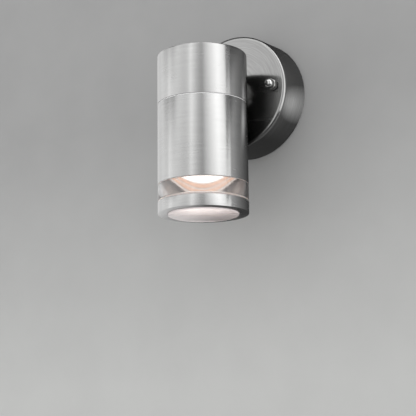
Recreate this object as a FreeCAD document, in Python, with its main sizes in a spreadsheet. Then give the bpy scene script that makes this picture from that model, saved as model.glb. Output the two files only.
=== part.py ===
import FreeCAD, Part
import math
import os
import re
import Sketcher
from FreeCAD import Placement, Rotation, Vector

# Tube wall light: a round canopy on the wall, a short arm, and a vertical tube that shines down.
# Frame: origin at the canopy centre on the wall face, +Z up, the light stands out along -Y. Sizes in mm.

doc = FreeCAD.newDocument("tube_wall_light")

# ---- Driving dimensions: name, value, what it is -----------------------------------------------

SIZES = [
    ("lamp_dia", 50.0, "lamp face; the tube is sized round it"),
    ("lamp_gap", 2.3, "radial gap between lamp and clear band"),
    ("lens_wall", 2.6, "wall of the clear band"),
    ("band_inset", 0.1, "clear band inside the tube's outline"),
    ("tube_wall", 1.2, "wall of the stainless tube"),
    ("axis_out", 66.5, "wall face to tube axis"),
    ("cap_rise", 15.2, "canopy centre up to the closed top"),
    ("cap_drop", 18.75, "canopy centre down to the head's lower edge"),
    ("cap_edge", 0.9, "rounding of the closed top"),
    ("edge_break", 0.25, "small chamfer on the tube's cut edges"),
    ("groove_gap", 0.5, "groove between head and barrel"),
    ("groove_deep", 0.45, "tube outline to the floor of the groove"),
    ("barrel_length", 54.2, "barrel tube"),
    ("band_height", 11.8, "clear band with its two gaskets"),
    ("bezel_height", 7.8, "end ring"),
    ("bezel_wall", 1.5, "side wall of the end ring"),
    ("bezel_lip", 1.5, "thickness of the lip under the lens"),
    ("bezel_face", 6.4, "width of the end ring's face round the light opening"),
    ("press_gap", 0.05, "radial gap of pressed and glued seats"),
    ("hole_gap", 0.1, "radial gap of a clearance hole"),
    ("lens_thick", 4.0, "flange of the round lens, on the lip"),
    ("lens_proud", 0.8, "round lens below the end ring's face"),
    ("lens_spigot", 5.0, "part of the clear band inside the barrel"),
    ("lens_edge", 0.6, "chamfer round the round lens"),
    ("gasket_thick", 0.35, "gasket above the clear band"),
    ("seat_thick", 1.1, "soft seat ring below the clear band"),
    ("canopy_dia", 85.0, "canopy diameter at the wall"),
    ("canopy_depth", 26.0, "wall face to canopy front"),
    ("canopy_taper", 1.5, "how much less the canopy's radius is in front"),
    ("canopy_wall", 1.0, "canopy sheet"),
    ("canopy_edge", 2.5, "outside radius of the canopy's front edge"),
    ("seal_width", 2.9, "canopy gasket, across"),
    ("seal_depth", 2.5, "canopy gasket, along the wall axis"),
    ("strap_gap", 1.55, "gasket to the end of the wall bracket"),
    ("strap_width", 18.0, "wall bracket strap"),
    ("strap_thick", 1.5, "wall bracket sheet"),
    ("strap_corner", 4.0, "rounded corners of the bracket"),
    ("tab_width", 28.0, "bracket tab for the terminal block"),
    ("tab_margin", 2.0, "bracket tab below the terminal block"),
    ("cable_hole", 12.0, "supply cable hole"),
    ("slot_inset", 10.0, "stud to the middle of the wall screw slot"),
    ("slot_length", 10.0, "wall screw slots, end to end"),
    ("slot_width", 4.6, "wall screw slots"),
    ("stud_inset", 5.0, "end of the wall bracket to the stud"),
    ("stud_dia", 4.0, "canopy stud thread"),
    ("stud_nut_flats", 7.0, "stud nuts across flats"),
    ("stud_nut_high", 3.2, "stud nuts and the hexagon of the cap nuts"),
    ("stud_grip", 5.0, "stud length inside the cap nut"),
    ("cap_nut_high", 8.0, "cap nut with its dome"),
    ("dome_dia", 6.5, "dome of the cap nut"),
    ("nut_seal_dia", 6.8, "soft washer under the cap nut"),
    ("nut_seal_thick", 0.8, "soft washer under the cap nut"),
    ("arm_dia", 20.0, "arm between canopy and tube"),
    ("arm_wall", 1.5, "arm tube wall"),
    ("nipple_dia", 10.0, "hollow threaded rod"),
    ("nipple_bore", 7.2, "wire way through the rod"),
    ("nipple_spare", 3.0, "rod length past its nuts"),
    ("nipple_nut_flats", 14.0, "rod nuts across flats"),
    ("nipple_nut_high", 3.0, "rod nuts"),
    ("saddle_dia", 18.0, "saddle washer inside the head"),
    ("saddle_high", 3.2, "saddle washer at its middle"),
    ("collar_rise", 8.0, "collar length inside the head"),
    ("spigot_land", 1.9, "radial room between spigot and barrel"),
    ("spigot_wall", 1.6, "wall of the collar's spigot"),
    ("collar_step", 4.3, "extra wall of the collar inside the head"),
    ("spigot_length", 9.25, "spigot below the groove"),
    ("ring_gap", 0.1, "radial gap between spigot and thread ring"),
    ("ring_drop", 2.6, "barrel edge to the thread ring"),
    ("ring_length", 6.4, "thread ring"),
    ("bridge_width", 12.0, "bridge bracket strip"),
    ("bridge_thick", 1.3, "bridge bracket strip"),
    ("foot_gap", 1.5, "end of a bridge foot to the head's wall"),
    ("foot_edge", 0.15, "end of a bridge foot to its screw head"),
    ("leg_gap", 0.65, "bridge leg to the screw head"),
    ("holder_drop", 4.2, "canopy centre to the top of the lampholder"),
    ("holder_height", 16.0, "lampholder"),
    ("holder_dia", 27.0, "lampholder body"),
    ("cover_dia", 30.0, "lampholder cover"),
    ("cover_thick", 3.2, "lampholder cover, under the pin heads"),
    ("holder_screw_out", 10.6, "tube axis to the lampholder screws"),
    ("screw_dia", 3.0, "small machine screws"),
    ("screw_head_dia", 5.5, "their heads"),
    ("screw_head_high", 2.0, "their heads"),
    ("screw_nut_flats", 5.5, "their nuts across flats"),
    ("screw_nut_high", 2.4, "their nuts"),
    ("foot_screw_grip", 6.0, "bridge screw length in the collar"),
    ("recess_deep", 2.2, "screw recess in the lampholder cover"),
    ("thread_gap", 0.05, "radial gap between a screw and its thread"),
    ("pin_spread", 10.0, "lamp pins, centre to centre"),
    ("pin_neck", 3.0, "lamp pin neck"),
    ("pin_head", 5.0, "lamp pin head"),
    ("pin_neck_high", 3.7, "lamp base to the pin head"),
    ("pin_head_high", 2.2, "pin head"),
    ("keyhole_gap", 0.25, "gap round pin neck and head"),
    ("contact_thick", 0.9, "lampholder contacts"),
    ("contact_width", 3.0, "lampholder contacts"),
    ("lock_turn", 25.0, "twist between release and lock, degrees"),
    ("lamp_seat_gap", 0.3, "lamp base under the lampholder"),
    ("lamp_length", 49.5, "lamp rim to the top of its base"),
    ("lamp_rim", 1.0, "wall of the lamp's front rim"),
    ("lamp_collar_high", 11.5, "straight front part of the lamp"),
    ("lamp_neck_dia", 30.0, "lamp shell at its base"),
    ("lamp_base_dia", 28.0, "lamp base"),
    ("lamp_base_high", 8.0, "lamp base"),
    ("lamp_recess", 4.5, "depth of the lamp's front recess"),
    ("core_dia", 33.0, "bright lens of the lamp"),
    ("core_sink", 2.3, "lamp rim up to the middle of the bright lens"),
    ("core_crown", 0.8, "how far the lens stands above its edge"),
    ("block_high", 15.0, "terminal block, up"),
    ("block_deep", 11.0, "terminal block, out from the bracket"),
    ("block_top_drop", 14.0, "canopy centre to the block's top"),
    ("way_pitch", 9.0, "terminal ways"),
    ("way_out", 5.0, "bracket face to the middle of a way"),
    ("sleeve_dia", 4.8, "brass sleeve"),
    ("sleeve_bore", 2.6, "brass sleeve"),
    ("sleeve_inset", 0.5, "sleeve end inside the block"),
    ("clamp_inset", 4.0, "block end to its clamp screws"),
    ("clamp_dia", 2.5, "clamp screws"),
    ("clamp_head_dia", 3.4, "clamp screw heads"),
    ("clamp_head_high", 1.9, "clamp screw heads"),
    ("clamp_slot", 0.6, "screwdriver slot"),
    ("wire_dia", 2.0, "insulated wire"),
    ("wire_ring", 1.7, "wires from the middle of the rod"),
    ("wire_grip", 6.0, "wire length in the terminal"),
    ("wire_bend", 6.0, "smallest bend of a wire"),
    ("wire_sweep", 12.0, "gentle bend of a wire"),
    ("wire_entry_side", 5.0, "wire entries of the lampholder, sideways"),
    ("wire_entry_front", 9.0, "wire entries of the lampholder, forward"),
    ("wire_entry_deep", 2.8, "wire entries of the lampholder"),
    ("wire_rise", 8.0, "height of the wires in the head"),
    ("tag_front", 1.0, "earth screw behind the tube axis"),
    ("tag_dia", 6.4, "earth tag ring"),
    ("tag_thick", 0.8, "earth tag"),
    ("tag_tongue", 2.4, "earth tag tongue"),
    ("crimp_dia", 3.4, "earth tag barrel"),
    ("crimp_length", 5.0, "earth tag barrel"),
    ("crimp_clear", 0.6, "earth tag barrel from the bridge edge"),
]

sheet = doc.addObject("Spreadsheet::Sheet", "dims")
for row, (alias, value, note) in enumerate(SIZES, start=1):
    sheet.set(f"A{row}", alias)
    sheet.set(f"B{row}", str(value))
    sheet.set(f"C{row}", note)
    sheet.setAlias(f"B{row}", alias)
doc.recompute()
ALIASES = {alias for alias, value, note in SIZES}

# Heights along the tube, each worked out from the sizes above.
CAP_EDGE = "(-cap_drop)"
COLLAR_TOP = "(-cap_drop + collar_rise)"
BARREL_TOP = "(-cap_drop - groove_gap)"
BARREL_END = "(-cap_drop - groove_gap - barrel_length)"
BAND_END = "(-cap_drop - groove_gap - barrel_length - band_height)"
BEZEL_END = "(-cap_drop - groove_gap - barrel_length - band_height - bezel_height)"
LENS_END = "(-cap_drop - groove_gap - barrel_length - band_height - bezel_height + bezel_lip)"
HOLDER_TOP = "(-holder_drop)"
HOLDER_END = "(-holder_drop - holder_height)"
COVER_TOP = "(-holder_drop - holder_height + cover_thick)"
CHAMBER_TOP = "(-holder_drop - holder_height - lamp_seat_gap + pin_neck_high + pin_head_high + keyhole_gap"
CHAMBER_TOP += " + contact_thick)"
BRIDGE_TOP = "(-holder_drop + bridge_thick)"
FOOT_TOP = "(-cap_drop + collar_rise + bridge_thick)"
LAMP_TOP = "(-holder_drop - holder_height - lamp_seat_gap)"
LAMP_NECK = "(-holder_drop - holder_height - lamp_seat_gap - lamp_base_high)"
LAMP_FACE = "(-holder_drop - holder_height - lamp_seat_gap - lamp_length)"
BLOCK_END = "(-block_top_drop - block_high)"

# Distances from the tube's axis, from the lamp outwards.
LENS_BORE = "(lamp_dia / 2 + lamp_gap)"
TUBE_SIDE = "(lamp_dia / 2 + lamp_gap + lens_wall + band_inset)"
TUBE_INSIDE = f"({TUBE_SIDE} - tube_wall)"
BEZEL_BORE = f"({TUBE_SIDE} - bezel_wall)"
BEZEL_HOLE = f"({TUBE_SIDE} - bezel_face)"
LENS_SIDE = f"({BEZEL_BORE} - 2 * press_gap)"
SPIGOT_SIDE = f"({TUBE_INSIDE} - spigot_land)"
SPIGOT_BORE = f"({TUBE_INSIDE} - spigot_land - spigot_wall)"
COLLAR_BORE = f"({TUBE_INSIDE} - spigot_land - spigot_wall - collar_step)"
FOOT_REACH = f"({TUBE_INSIDE} - foot_gap)"
FOOT_SCREW = f"({FOOT_REACH} - foot_edge - screw_head_dia / 2)"
LEG_SIDE = f"({FOOT_SCREW} - screw_head_dia / 2 - leg_gap)"

# Distances from the canopy's axis, from its rim inwards.
STRAP_END = "(canopy_dia / 2 - canopy_wall - press_gap - seal_width - strap_gap)"
STUD_OUT = f"({STRAP_END} - stud_inset)"
SLOT_OUT = f"({STUD_OUT} - slot_inset)"
TAB_END = f"({BLOCK_END} - tab_margin)"


# ---- Modelling helpers -------------------------------------------------------------------------

def sized(words):
    """An expression in plain names, with each name tied to its cell."""
    return re.sub(r"[a-z_]+", lambda m: "dims." + m.group() if m.group() in ALIASES else m.group(), words)


def size(alias):
    return float(sheet.get(alias))


def new_piece(name):
    piece = doc.addObject("PartDesign::Body", name)
    piece.Label = name
    piece.AllowCompound = True
    return piece


def on_tube_axis(piece):
    """Puts a piece that is drawn about Z onto the tube's axis."""
    piece.setExpression("Placement.Base.y", sized("-axis_out"))
    return piece


def origin_part(piece, role):
    return [part for part in piece.Origin.OriginFeatures if part.Role == role][0]


def new_sketch(piece, name, role, offset=None):
    """A sketch on an origin plane; offset moves it along the plane's normal."""
    sketch = piece.newObject("Sketcher::SketchObject", f"{piece.Name}_{name}")
    sketch.AttachmentSupport = (origin_part(piece, role), [""])
    sketch.MapMode = "FlatFace"
    if offset:
        sketch.setExpression("AttachmentOffset.Base.z", sized(offset))
    return sketch


def bind_point(sketch, line, end, across, along):
    for kind, words in (("DistanceX", across), ("DistanceY", along)):
        index = sketch.addConstraint(Sketcher.Constraint(kind, -1, 1, line, end, 1.0))
        sketch.setExpression(f"Constraints[{index}]", sized(words))


def outline(sketch, corners):
    """A closed outline whose corners are bound; it is drawn roughly round and pulled into shape."""
    first = sketch.GeometryCount
    count = len(corners)
    for number in range(count):
        ends = []
        for step in (number, number + 1):
            angle = 2 * math.pi * step / count
            ends.append(Vector(10 * math.cos(angle), 10 * math.sin(angle), 0))
        sketch.addGeometry(Part.LineSegment(ends[0], ends[1]), False)
    for number in range(count):
        following = first + (number + 1) % count
        sketch.addConstraint(Sketcher.Constraint("Coincident", first + number, 2, following, 1))
    for number, (across, along) in enumerate(corners):
        bind_point(sketch, first + number, 1, across, along)


def circle(sketch, across, along, radius):
    number = sketch.addGeometry(Part.Circle(Vector(0, 0, 0), Vector(0, 0, 1), 1), False)
    bind_point(sketch, number, 3, across, along)
    index = sketch.addConstraint(Sketcher.Constraint("Radius", number, 1.0))
    sketch.setExpression(f"Constraints[{index}]", sized(radius))


def box_corners(left, right, low, high):
    return [(left, low), (right, low), (right, high), (left, high)]


def hexagon(across, along, flats):
    """Corners of a hexagon with two corners on the sketch's vertical."""
    half = f"({flats}) / 2"
    corner = f"({flats}) / sqrt(3)"
    low = f"({across}) + {half}"
    left = f"({across}) - {half}"
    return [(low, f"({along}) - {corner} / 2"), (low, f"({along}) + {corner} / 2"),
            (across, f"({along}) + {corner}"), (left, f"({along}) + {corner} / 2"),
            (left, f"({along}) - {corner} / 2"), (across, f"({along}) - {corner}")]


def turned(piece, name, corners, role="XZ_Plane"):
    """Turns an outline of (radius, height) about the sketch's vertical axis."""
    sketch = new_sketch(piece, name, role)
    outline(sketch, corners)
    feature = piece.newObject("PartDesign::Revolution", f"{piece.Name}_{name}_turn")
    feature.Profile = sketch
    feature.ReferenceAxis = (sketch, ["V_Axis"])
    feature.Angle = 360
    return feature


def padded(piece, sketch, length):
    feature = piece.newObject("PartDesign::Pad", f"{sketch.Name}_pad")
    feature.Profile = sketch
    feature.setExpression("Length", sized(length))
    return feature


def pocket(piece, sketch, depth=None, forward=False):
    """Cuts against the sketch's normal, or along it when forward; without a depth it cuts right through."""
    feature = piece.newObject("PartDesign::Pocket", f"{sketch.Name}_pocket")
    feature.Profile = sketch
    feature.Reversed = forward
    if depth:
        feature.setExpression("Length", sized(depth))
    else:
        feature.Type = 1
        feature.Midplane = True
    return feature


def rounded(piece, name, radius, wanted):
    """Rounds the edges of the piece's last feature that the wanted test picks."""
    doc.recompute()
    base = piece.Tip
    chosen = [f"Edge{number}" for number, edge in enumerate(base.Shape.Edges, start=1) if wanted(edge)]
    feature = piece.newObject("PartDesign::Fillet", f"{piece.Name}_{name}")
    feature.Base = (base, chosen)
    feature.setExpression("Radius", sized(radius))
    return feature


def tube_side():
    """Outside radius of the tube."""
    return size("lamp_dia") / 2 + size("lamp_gap") + size("lens_wall") + size("band_inset")


def is_ring(edge, radius, axis, height):
    """True for a full circle of this radius at this height along an axis (0, 1 or 2)."""
    if not isinstance(edge.Curve, Part.Circle):
        return False
    return abs(edge.Curve.Radius - radius) < 1e-4 and abs(edge.Curve.Center[axis] - height) < 1e-4


# ---- Canopy on the wall ------------------------------------------------------------------------

def tapered(depth):
    """How far the canopy's side has come in at a depth from the wall."""
    return f"(canopy_taper * ({depth}) / canopy_depth)"


def canopy_shell():
    """Pressed dish: open at the wall, slightly tapered, with a rounded front edge and holes for rod and studs."""
    piece = new_piece("canopy_shell")
    outside = "canopy_dia / 2"
    inside = "canopy_dia / 2 - canopy_wall"
    floor = "-canopy_depth + canopy_wall"
    turned(piece, "dish", [("0", "-canopy_depth"), (f"{outside} - canopy_taper", "-canopy_depth"), (outside, "0"),
                           (inside, "0"), (f"{inside} - {tapered('canopy_depth - canopy_wall')}", floor),
                           ("0", floor)],
           role="XY_Plane")
    front = size("canopy_dia") / 2 - size("canopy_taper")
    within = front - size("canopy_wall") + size("canopy_taper") * size("canopy_wall") / size("canopy_depth")
    rounded(piece, "front_edge", "canopy_edge", lambda edge: is_ring(edge, front, 1, -size("canopy_depth")))
    rounded(piece, "inner_edge", "canopy_edge - canopy_wall",
            lambda edge: is_ring(edge, within, 1, size("canopy_wall") - size("canopy_depth")))
    holes = new_sketch(piece, "holes", "XZ_Plane")
    circle(holes, "0", "0", "nipple_dia / 2 + hole_gap")
    for sign in ("", "-"):
        circle(holes, f"{sign}{STUD_OUT}", "0", "stud_dia / 2 + hole_gap")
    pocket(piece, holes)
    return piece


def canopy_gasket():
    """Soft ring just inside the canopy's rim."""
    piece = new_piece("canopy_gasket")
    outside = "canopy_dia / 2 - canopy_wall - press_gap"
    inside = "canopy_dia / 2 - canopy_wall - press_gap - seal_width"
    turned(piece, "ring", [(outside, "0"), (f"{outside} - {tapered('seal_depth')}", "-seal_depth"),
                           (inside, "-seal_depth"), (inside, "0")], role="XY_Plane")
    return piece


def wall_bracket():
    """Strap against the wall with two slots, a cable hole, stud holes and a tab under the terminal block."""
    piece = new_piece("wall_bracket")
    plate = new_sketch(piece, "plate", "XZ_Plane")
    side = "tab_width / 2"
    high = "strap_width / 2"
    outline(plate, [(STRAP_END, high), (f"-{STRAP_END}", high), (f"-{STRAP_END}", f"-{high}"),
                    (f"-{side}", f"-{high}"), (f"-{side}", TAB_END), (side, TAB_END), (side, f"-{high}"),
                    (STRAP_END, f"-{high}")])
    padded(piece, plate, "strap_thick")

    def at_corner(edge):
        """True for an edge through the sheet, except in the two inner corners beside the tab."""
        point = edge.CenterOfMass
        through = abs(edge.Length - size("strap_thick")) < 1e-4
        beside = abs(abs(point.x) - size("tab_width") / 2) < 1e-4
        below = abs(point.z + size("strap_width") / 2) < 1e-4
        return through and not (beside and below)

    rounded(piece, "corners", "strap_corner", at_corner)
    holes = new_sketch(piece, "holes", "XZ_Plane")
    circle(holes, "0", "0", "cable_hole / 2")
    circle(holes, "way_pitch / 2", "-block_top_drop - block_high / 2", "clamp_dia / 2 + thread_gap")
    for sign in ("", "-"):
        circle(holes, f"{sign}{STUD_OUT}", "0", "stud_dia / 2 + thread_gap")
    pocket(piece, holes)
    for name, sign in (("left", "-1"), ("right", "1")):
        slot = new_sketch(piece, f"slot_{name}", "XZ_Plane")
        middle = f"{sign} * {SLOT_OUT}"
        straight = "(slot_length - slot_width) / 2"
        outline(slot, box_corners(f"{middle} - {straight}", f"{middle} + {straight}",
                                  "-slot_width / 2", "slot_width / 2"))
        pocket(piece, slot)
        for end_name, shift in (("inner", "-"), ("outer", "+")):
            end_sketch = new_sketch(piece, f"slot_{name}_{end_name}", "XZ_Plane")
            circle(end_sketch, f"{middle} {shift} {straight}", "0", "slot_width / 2")
            pocket(piece, end_sketch)
    return piece


def bracket_studs():
    """Two threaded studs from the bracket into the cap nuts."""
    piece = new_piece("bracket_studs")
    sketch = new_sketch(piece, "rods", "XZ_Plane")
    for sign in ("", "-"):
        circle(sketch, f"{sign}{STUD_OUT}", "0", "stud_dia / 2")
    padded(piece, sketch, "canopy_depth + nut_seal_thick + stud_grip")
    return piece


def stud_lock_nuts():
    """Hexagon nuts that lock the studs to the bracket."""
    piece = new_piece("stud_lock_nuts")
    sketch = new_sketch(piece, "nuts", "XZ_Plane", "strap_thick")
    for sign in ("1", "-1"):
        outline(sketch, hexagon(f"{sign} * {STUD_OUT}", "0", "stud_nut_flats"))
        circle(sketch, f"{sign} * {STUD_OUT}", "0", "stud_dia / 2 + thread_gap")
    padded(piece, sketch, "stud_nut_high")
    return piece


def cap_nut_seals():
    """Soft washers between the canopy face and the cap nuts."""
    piece = new_piece("cap_nut_seals")
    sketch = new_sketch(piece, "rings", "XZ_Plane", "canopy_depth")
    for sign in ("", "-"):
        circle(sketch, f"{sign}{STUD_OUT}", "0", "nut_seal_dia / 2")
        circle(sketch, f"{sign}{STUD_OUT}", "0", "stud_dia / 2 + hole_gap")
    padded(piece, sketch, "nut_seal_thick")
    return piece


def cap_nuts():
    """Domed nuts: a hexagon at the canopy, a polished dome in front and a blind thread."""
    piece = new_piece("cap_nuts")
    base = "canopy_depth + nut_seal_thick"
    flats = new_sketch(piece, "hexagon", "XZ_Plane", base)
    domes = new_sketch(piece, "dome", "XZ_Plane", base)
    for sign in ("1", "-1"):
        outline(flats, hexagon(f"{sign} * {STUD_OUT}", "0", "stud_nut_flats"))
        circle(domes, f"{sign} * {STUD_OUT}", "0", "dome_dia / 2")
    padded(piece, flats, "stud_nut_high")
    padded(piece, domes, "cap_nut_high")
    tip = -(size("canopy_depth") + size("nut_seal_thick") + size("cap_nut_high"))
    rounded(piece, "crown", "dome_dia / 2 - 2 * thread_gap",
            lambda edge: is_ring(edge, size("dome_dia") / 2, 1, tip))
    threads = new_sketch(piece, "threads", "XZ_Plane", base)
    for sign in ("", "-"):
        circle(threads, f"{sign}{STUD_OUT}", "0", "stud_dia / 2 + thread_gap")
    pocket(piece, threads, "stud_grip + hole_gap", forward=True)
    return piece


# ---- Supply connection inside the canopy -------------------------------------------------------

WAYS = ("-way_pitch", "0", "way_pitch")
UPPER_CLAMP = "-block_top_drop - clamp_inset"
LOWER_CLAMP = f"{BLOCK_END} + clamp_inset"
WAY_DEPTH = "strap_thick + way_out"
SLEEVE_FRONT = f"{WAY_DEPTH} + sleeve_dia / 2"


def clamp_circles(sketch, radius):
    for way in WAYS:
        for height in (UPPER_CLAMP, LOWER_CLAMP):
            circle(sketch, way, height, radius)


def terminal_block():
    """Moulded block with three ways, wire holes from above and below and screw holes in front."""
    piece = new_piece("terminal_block")
    block = new_sketch(piece, "block", "XZ_Plane", "strap_thick")
    outline(block, box_corners("-tab_width / 2", "tab_width / 2", BLOCK_END, "-block_top_drop"))
    padded(piece, block, "block_deep")
    ways = new_sketch(piece, "ways", "XY_Plane")
    for way in WAYS:
        circle(ways, way, f"-({WAY_DEPTH})", "sleeve_dia / 2 + press_gap")
    pocket(piece, ways)
    front = new_sketch(piece, "screw_holes", "XZ_Plane", f"{WAY_DEPTH}")
    clamp_circles(front, "clamp_head_dia / 2 + hole_gap")
    pocket(piece, front, "block_deep", forward=True)
    fixing = new_sketch(piece, "fixing_hole", "XZ_Plane")
    circle(fixing, "way_pitch / 2", "-block_top_drop - block_high / 2", "clamp_dia / 2 + hole_gap")
    pocket(piece, fixing)
    return piece


def terminal_sleeves():
    """Brass sleeves with a bore for the wires and threads for the clamp screws."""
    piece = new_piece("terminal_sleeves")
    sketch = new_sketch(piece, "tubes", "XY_Plane", f"{BLOCK_END} + sleeve_inset")
    for way in WAYS:
        circle(sketch, way, f"-({WAY_DEPTH})", "sleeve_dia / 2")
        circle(sketch, way, f"-({WAY_DEPTH})", "sleeve_bore / 2")
    padded(piece, sketch, "block_high - 2 * sleeve_inset")
    threads = new_sketch(piece, "threads", "XZ_Plane", WAY_DEPTH)
    clamp_circles(threads, "clamp_dia / 2 + thread_gap")
    pocket(piece, threads, "sleeve_dia", forward=True)
    return piece


def terminal_screws():
    """Six slotted clamp screws whose tips rest on the wires."""
    piece = new_piece("terminal_screws")
    shanks = new_sketch(piece, "shanks", "XZ_Plane", f"{WAY_DEPTH} + wire_dia / 2 + thread_gap")
    clamp_circles(shanks, "clamp_dia / 2")
    padded(piece, shanks, "(sleeve_dia - wire_dia) / 2 + thread_gap")
    heads = new_sketch(piece, "heads", "XZ_Plane", f"{SLEEVE_FRONT} + thread_gap")
    clamp_circles(heads, "clamp_head_dia / 2")
    padded(piece, heads, "clamp_head_high")
    slots = new_sketch(piece, "slots", "XZ_Plane", f"{SLEEVE_FRONT} + thread_gap + clamp_head_high / 2")
    for way in WAYS:
        for height in (UPPER_CLAMP, LOWER_CLAMP):
            outline(slots, box_corners(f"{way} - clamp_dia", f"{way} + clamp_dia",
                                       f"{height} - clamp_slot / 2", f"{height} + clamp_slot / 2"))
    pocket(piece, slots, "clamp_head_high", forward=True)
    return piece


def terminal_fixing_screw():
    """Screw through the block into the bracket's tab."""
    piece = new_piece("terminal_fixing_screw")
    height = "-block_top_drop - block_high / 2"
    shank = new_sketch(piece, "shank", "XZ_Plane", "hole_gap")
    circle(shank, "way_pitch / 2", height, "clamp_dia / 2")
    padded(piece, shank, "strap_thick + block_deep")
    head = new_sketch(piece, "head", "XZ_Plane", "strap_thick + block_deep")
    circle(head, "way_pitch / 2", height, "clamp_head_dia / 2 + clamp_slot")
    padded(piece, head, "clamp_head_high")
    slot = new_sketch(piece, "slot", "XZ_Plane", "strap_thick + block_deep + clamp_head_high / 2")
    outline(slot, box_corners("way_pitch / 2 - clamp_head_dia", "way_pitch / 2 + clamp_head_dia",
                              f"{height} - clamp_slot / 2", f"{height} + clamp_slot / 2"))
    pocket(piece, slot, "clamp_head_high", forward=True)
    return piece


# ---- Arm between canopy and tube ---------------------------------------------------------------

def arm_tube():
    """Short spacer whose front end is cut to the tube's round."""
    piece = new_piece("arm_tube")
    sketch = new_sketch(piece, "ring", "XZ_Plane", "canopy_depth")
    circle(sketch, "0", "0", "arm_dia / 2")
    circle(sketch, "0", "0", "arm_dia / 2 - arm_wall")
    padded(piece, sketch, "axis_out - canopy_depth")
    saddle = new_sketch(piece, "saddle", "XY_Plane")
    circle(saddle, "0", "-axis_out", f"{TUBE_SIDE} + press_gap")
    pocket(piece, saddle)
    return piece


HEAD_WALL = f"(axis_out - {TUBE_INSIDE})"


def arm_nipple():
    """Hollow threaded rod through canopy, arm and head."""
    piece = new_piece("arm_nipple")
    start = "canopy_depth - canopy_wall - nipple_nut_high - nipple_spare"
    sketch = new_sketch(piece, "ring", "XZ_Plane", start)
    circle(sketch, "0", "0", "nipple_dia / 2")
    circle(sketch, "0", "0", "nipple_bore / 2")
    padded(piece, sketch, f"{HEAD_WALL} + saddle_high + nipple_nut_high + nipple_spare / 2 - ({start})")
    return piece


def nipple_nut(name, offset):
    piece = new_piece(name)
    sketch = new_sketch(piece, "nut", "XZ_Plane", offset)
    outline(sketch, hexagon("0", "0", "nipple_nut_flats"))
    circle(sketch, "0", "0", "nipple_dia / 2 + thread_gap")
    padded(piece, sketch, "nipple_nut_high")
    return piece


def saddle_washer():
    """Washer that follows the inside of the head on one face and is flat under the nut."""
    piece = new_piece("saddle_washer")
    sketch = new_sketch(piece, "ring", "XZ_Plane", HEAD_WALL)
    circle(sketch, "0", "0", "saddle_dia / 2")
    circle(sketch, "0", "0", "nipple_dia / 2 + hole_gap")
    padded(piece, sketch, "saddle_high")
    back = new_sketch(piece, "curve", "XY_Plane")
    circle(back, "0", "-axis_out", f"{TUBE_INSIDE} - press_gap")
    circle(back, "0", "-axis_out", "axis_out")
    pocket(piece, back)
    return piece


# ---- Head of the tube --------------------------------------------------------------------------

def head_cap():
    """Closed upper part of the tube, with the rod hole at its back."""
    piece = on_tube_axis(new_piece("head_cap"))
    outside = TUBE_SIDE
    turned(piece, "cup", [("0", "cap_rise"), (outside, "cap_rise"), (outside, f"{CAP_EDGE} + edge_break"),
                          (f"{outside} - edge_break", CAP_EDGE), (TUBE_INSIDE, CAP_EDGE),
                          (TUBE_INSIDE, "cap_rise - tube_wall"), ("0", "cap_rise - tube_wall")])
    rounded(piece, "top_edge", "cap_edge", lambda edge: is_ring(edge, tube_side(), 2, size("cap_rise")))
    hole = new_sketch(piece, "rod_hole", "XZ_Plane")
    circle(hole, "0", "0", "nipple_dia / 2 + hole_gap")
    pocket(piece, hole, "axis_out", forward=False)
    return piece


def head_collar():
    """Turned ring fixed in the head: a flange is the groove's floor and a spigot guides the barrel."""
    piece = on_tube_axis(new_piece("head_collar"))
    outside = f"{TUBE_INSIDE} - press_gap"
    spigot_end = f"{BARREL_TOP} - spigot_length"
    flange = f"{TUBE_SIDE} - groove_deep"
    turned(piece, "ring", [(COLLAR_BORE, COLLAR_TOP), (outside, COLLAR_TOP), (outside, CAP_EDGE),
                           (flange, CAP_EDGE), (flange, BARREL_TOP), (SPIGOT_SIDE, BARREL_TOP),
                           (SPIGOT_SIDE, spigot_end), (SPIGOT_BORE, spigot_end), (SPIGOT_BORE, BARREL_TOP),
                           (COLLAR_BORE, BARREL_TOP)])
    threads = new_sketch(piece, "threads", "XY_Plane", COLLAR_TOP)
    for sign in ("", "-"):
        circle(threads, f"{sign}{FOOT_SCREW}", "0", "screw_dia / 2 + thread_gap")
    pocket(piece, threads, "foot_screw_grip + hole_gap")
    return piece


def barrel_seal():
    """Round seal on the spigot, squeezed by the barrel's inner wall."""
    piece = on_tube_axis(new_piece("barrel_seal"))
    sketch = new_sketch(piece, "section", "XZ_Plane")
    section = "(spigot_land - press_gap) / 2"
    circle(sketch, f"{SPIGOT_SIDE} + spigot_land / 2", f"{BARREL_TOP} - press_gap - {section}", section)
    feature = piece.newObject("PartDesign::Revolution", "barrel_seal_turn")
    feature.Profile = sketch
    feature.ReferenceAxis = (sketch, ["V_Axis"])
    feature.Angle = 360
    return piece


def bridge_bracket():
    """Hat-shaped strip that stands on the collar and carries the lampholder under its top."""
    piece = on_tube_axis(new_piece("bridge_bracket"))
    inner = f"({LEG_SIDE} - bridge_thick)"
    right = [(FOOT_REACH, COLLAR_TOP), (FOOT_REACH, FOOT_TOP), (LEG_SIDE, FOOT_TOP), (LEG_SIDE, BRIDGE_TOP)]
    under = [(inner, HOLDER_TOP), (inner, COLLAR_TOP)]
    corners = right + [(f"-{x}", z) for x, z in reversed(right)]
    corners += [(f"-{x}", z) for x, z in reversed(under)] + under
    strip = new_sketch(piece, "strip", "XZ_Plane")
    outline(strip, corners)
    pad = padded(piece, strip, "bridge_width")
    pad.Midplane = True
    holes = new_sketch(piece, "holes", "XY_Plane")
    for sign in ("", "-"):
        circle(holes, f"{sign}{FOOT_SCREW}", "0", "screw_dia / 2 + hole_gap")
        circle(holes, f"{sign}holder_screw_out", "0", "screw_dia / 2 + hole_gap")
    circle(holes, "0", "tag_front", "screw_dia / 2 + thread_gap")
    pocket(piece, holes)
    return piece


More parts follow.
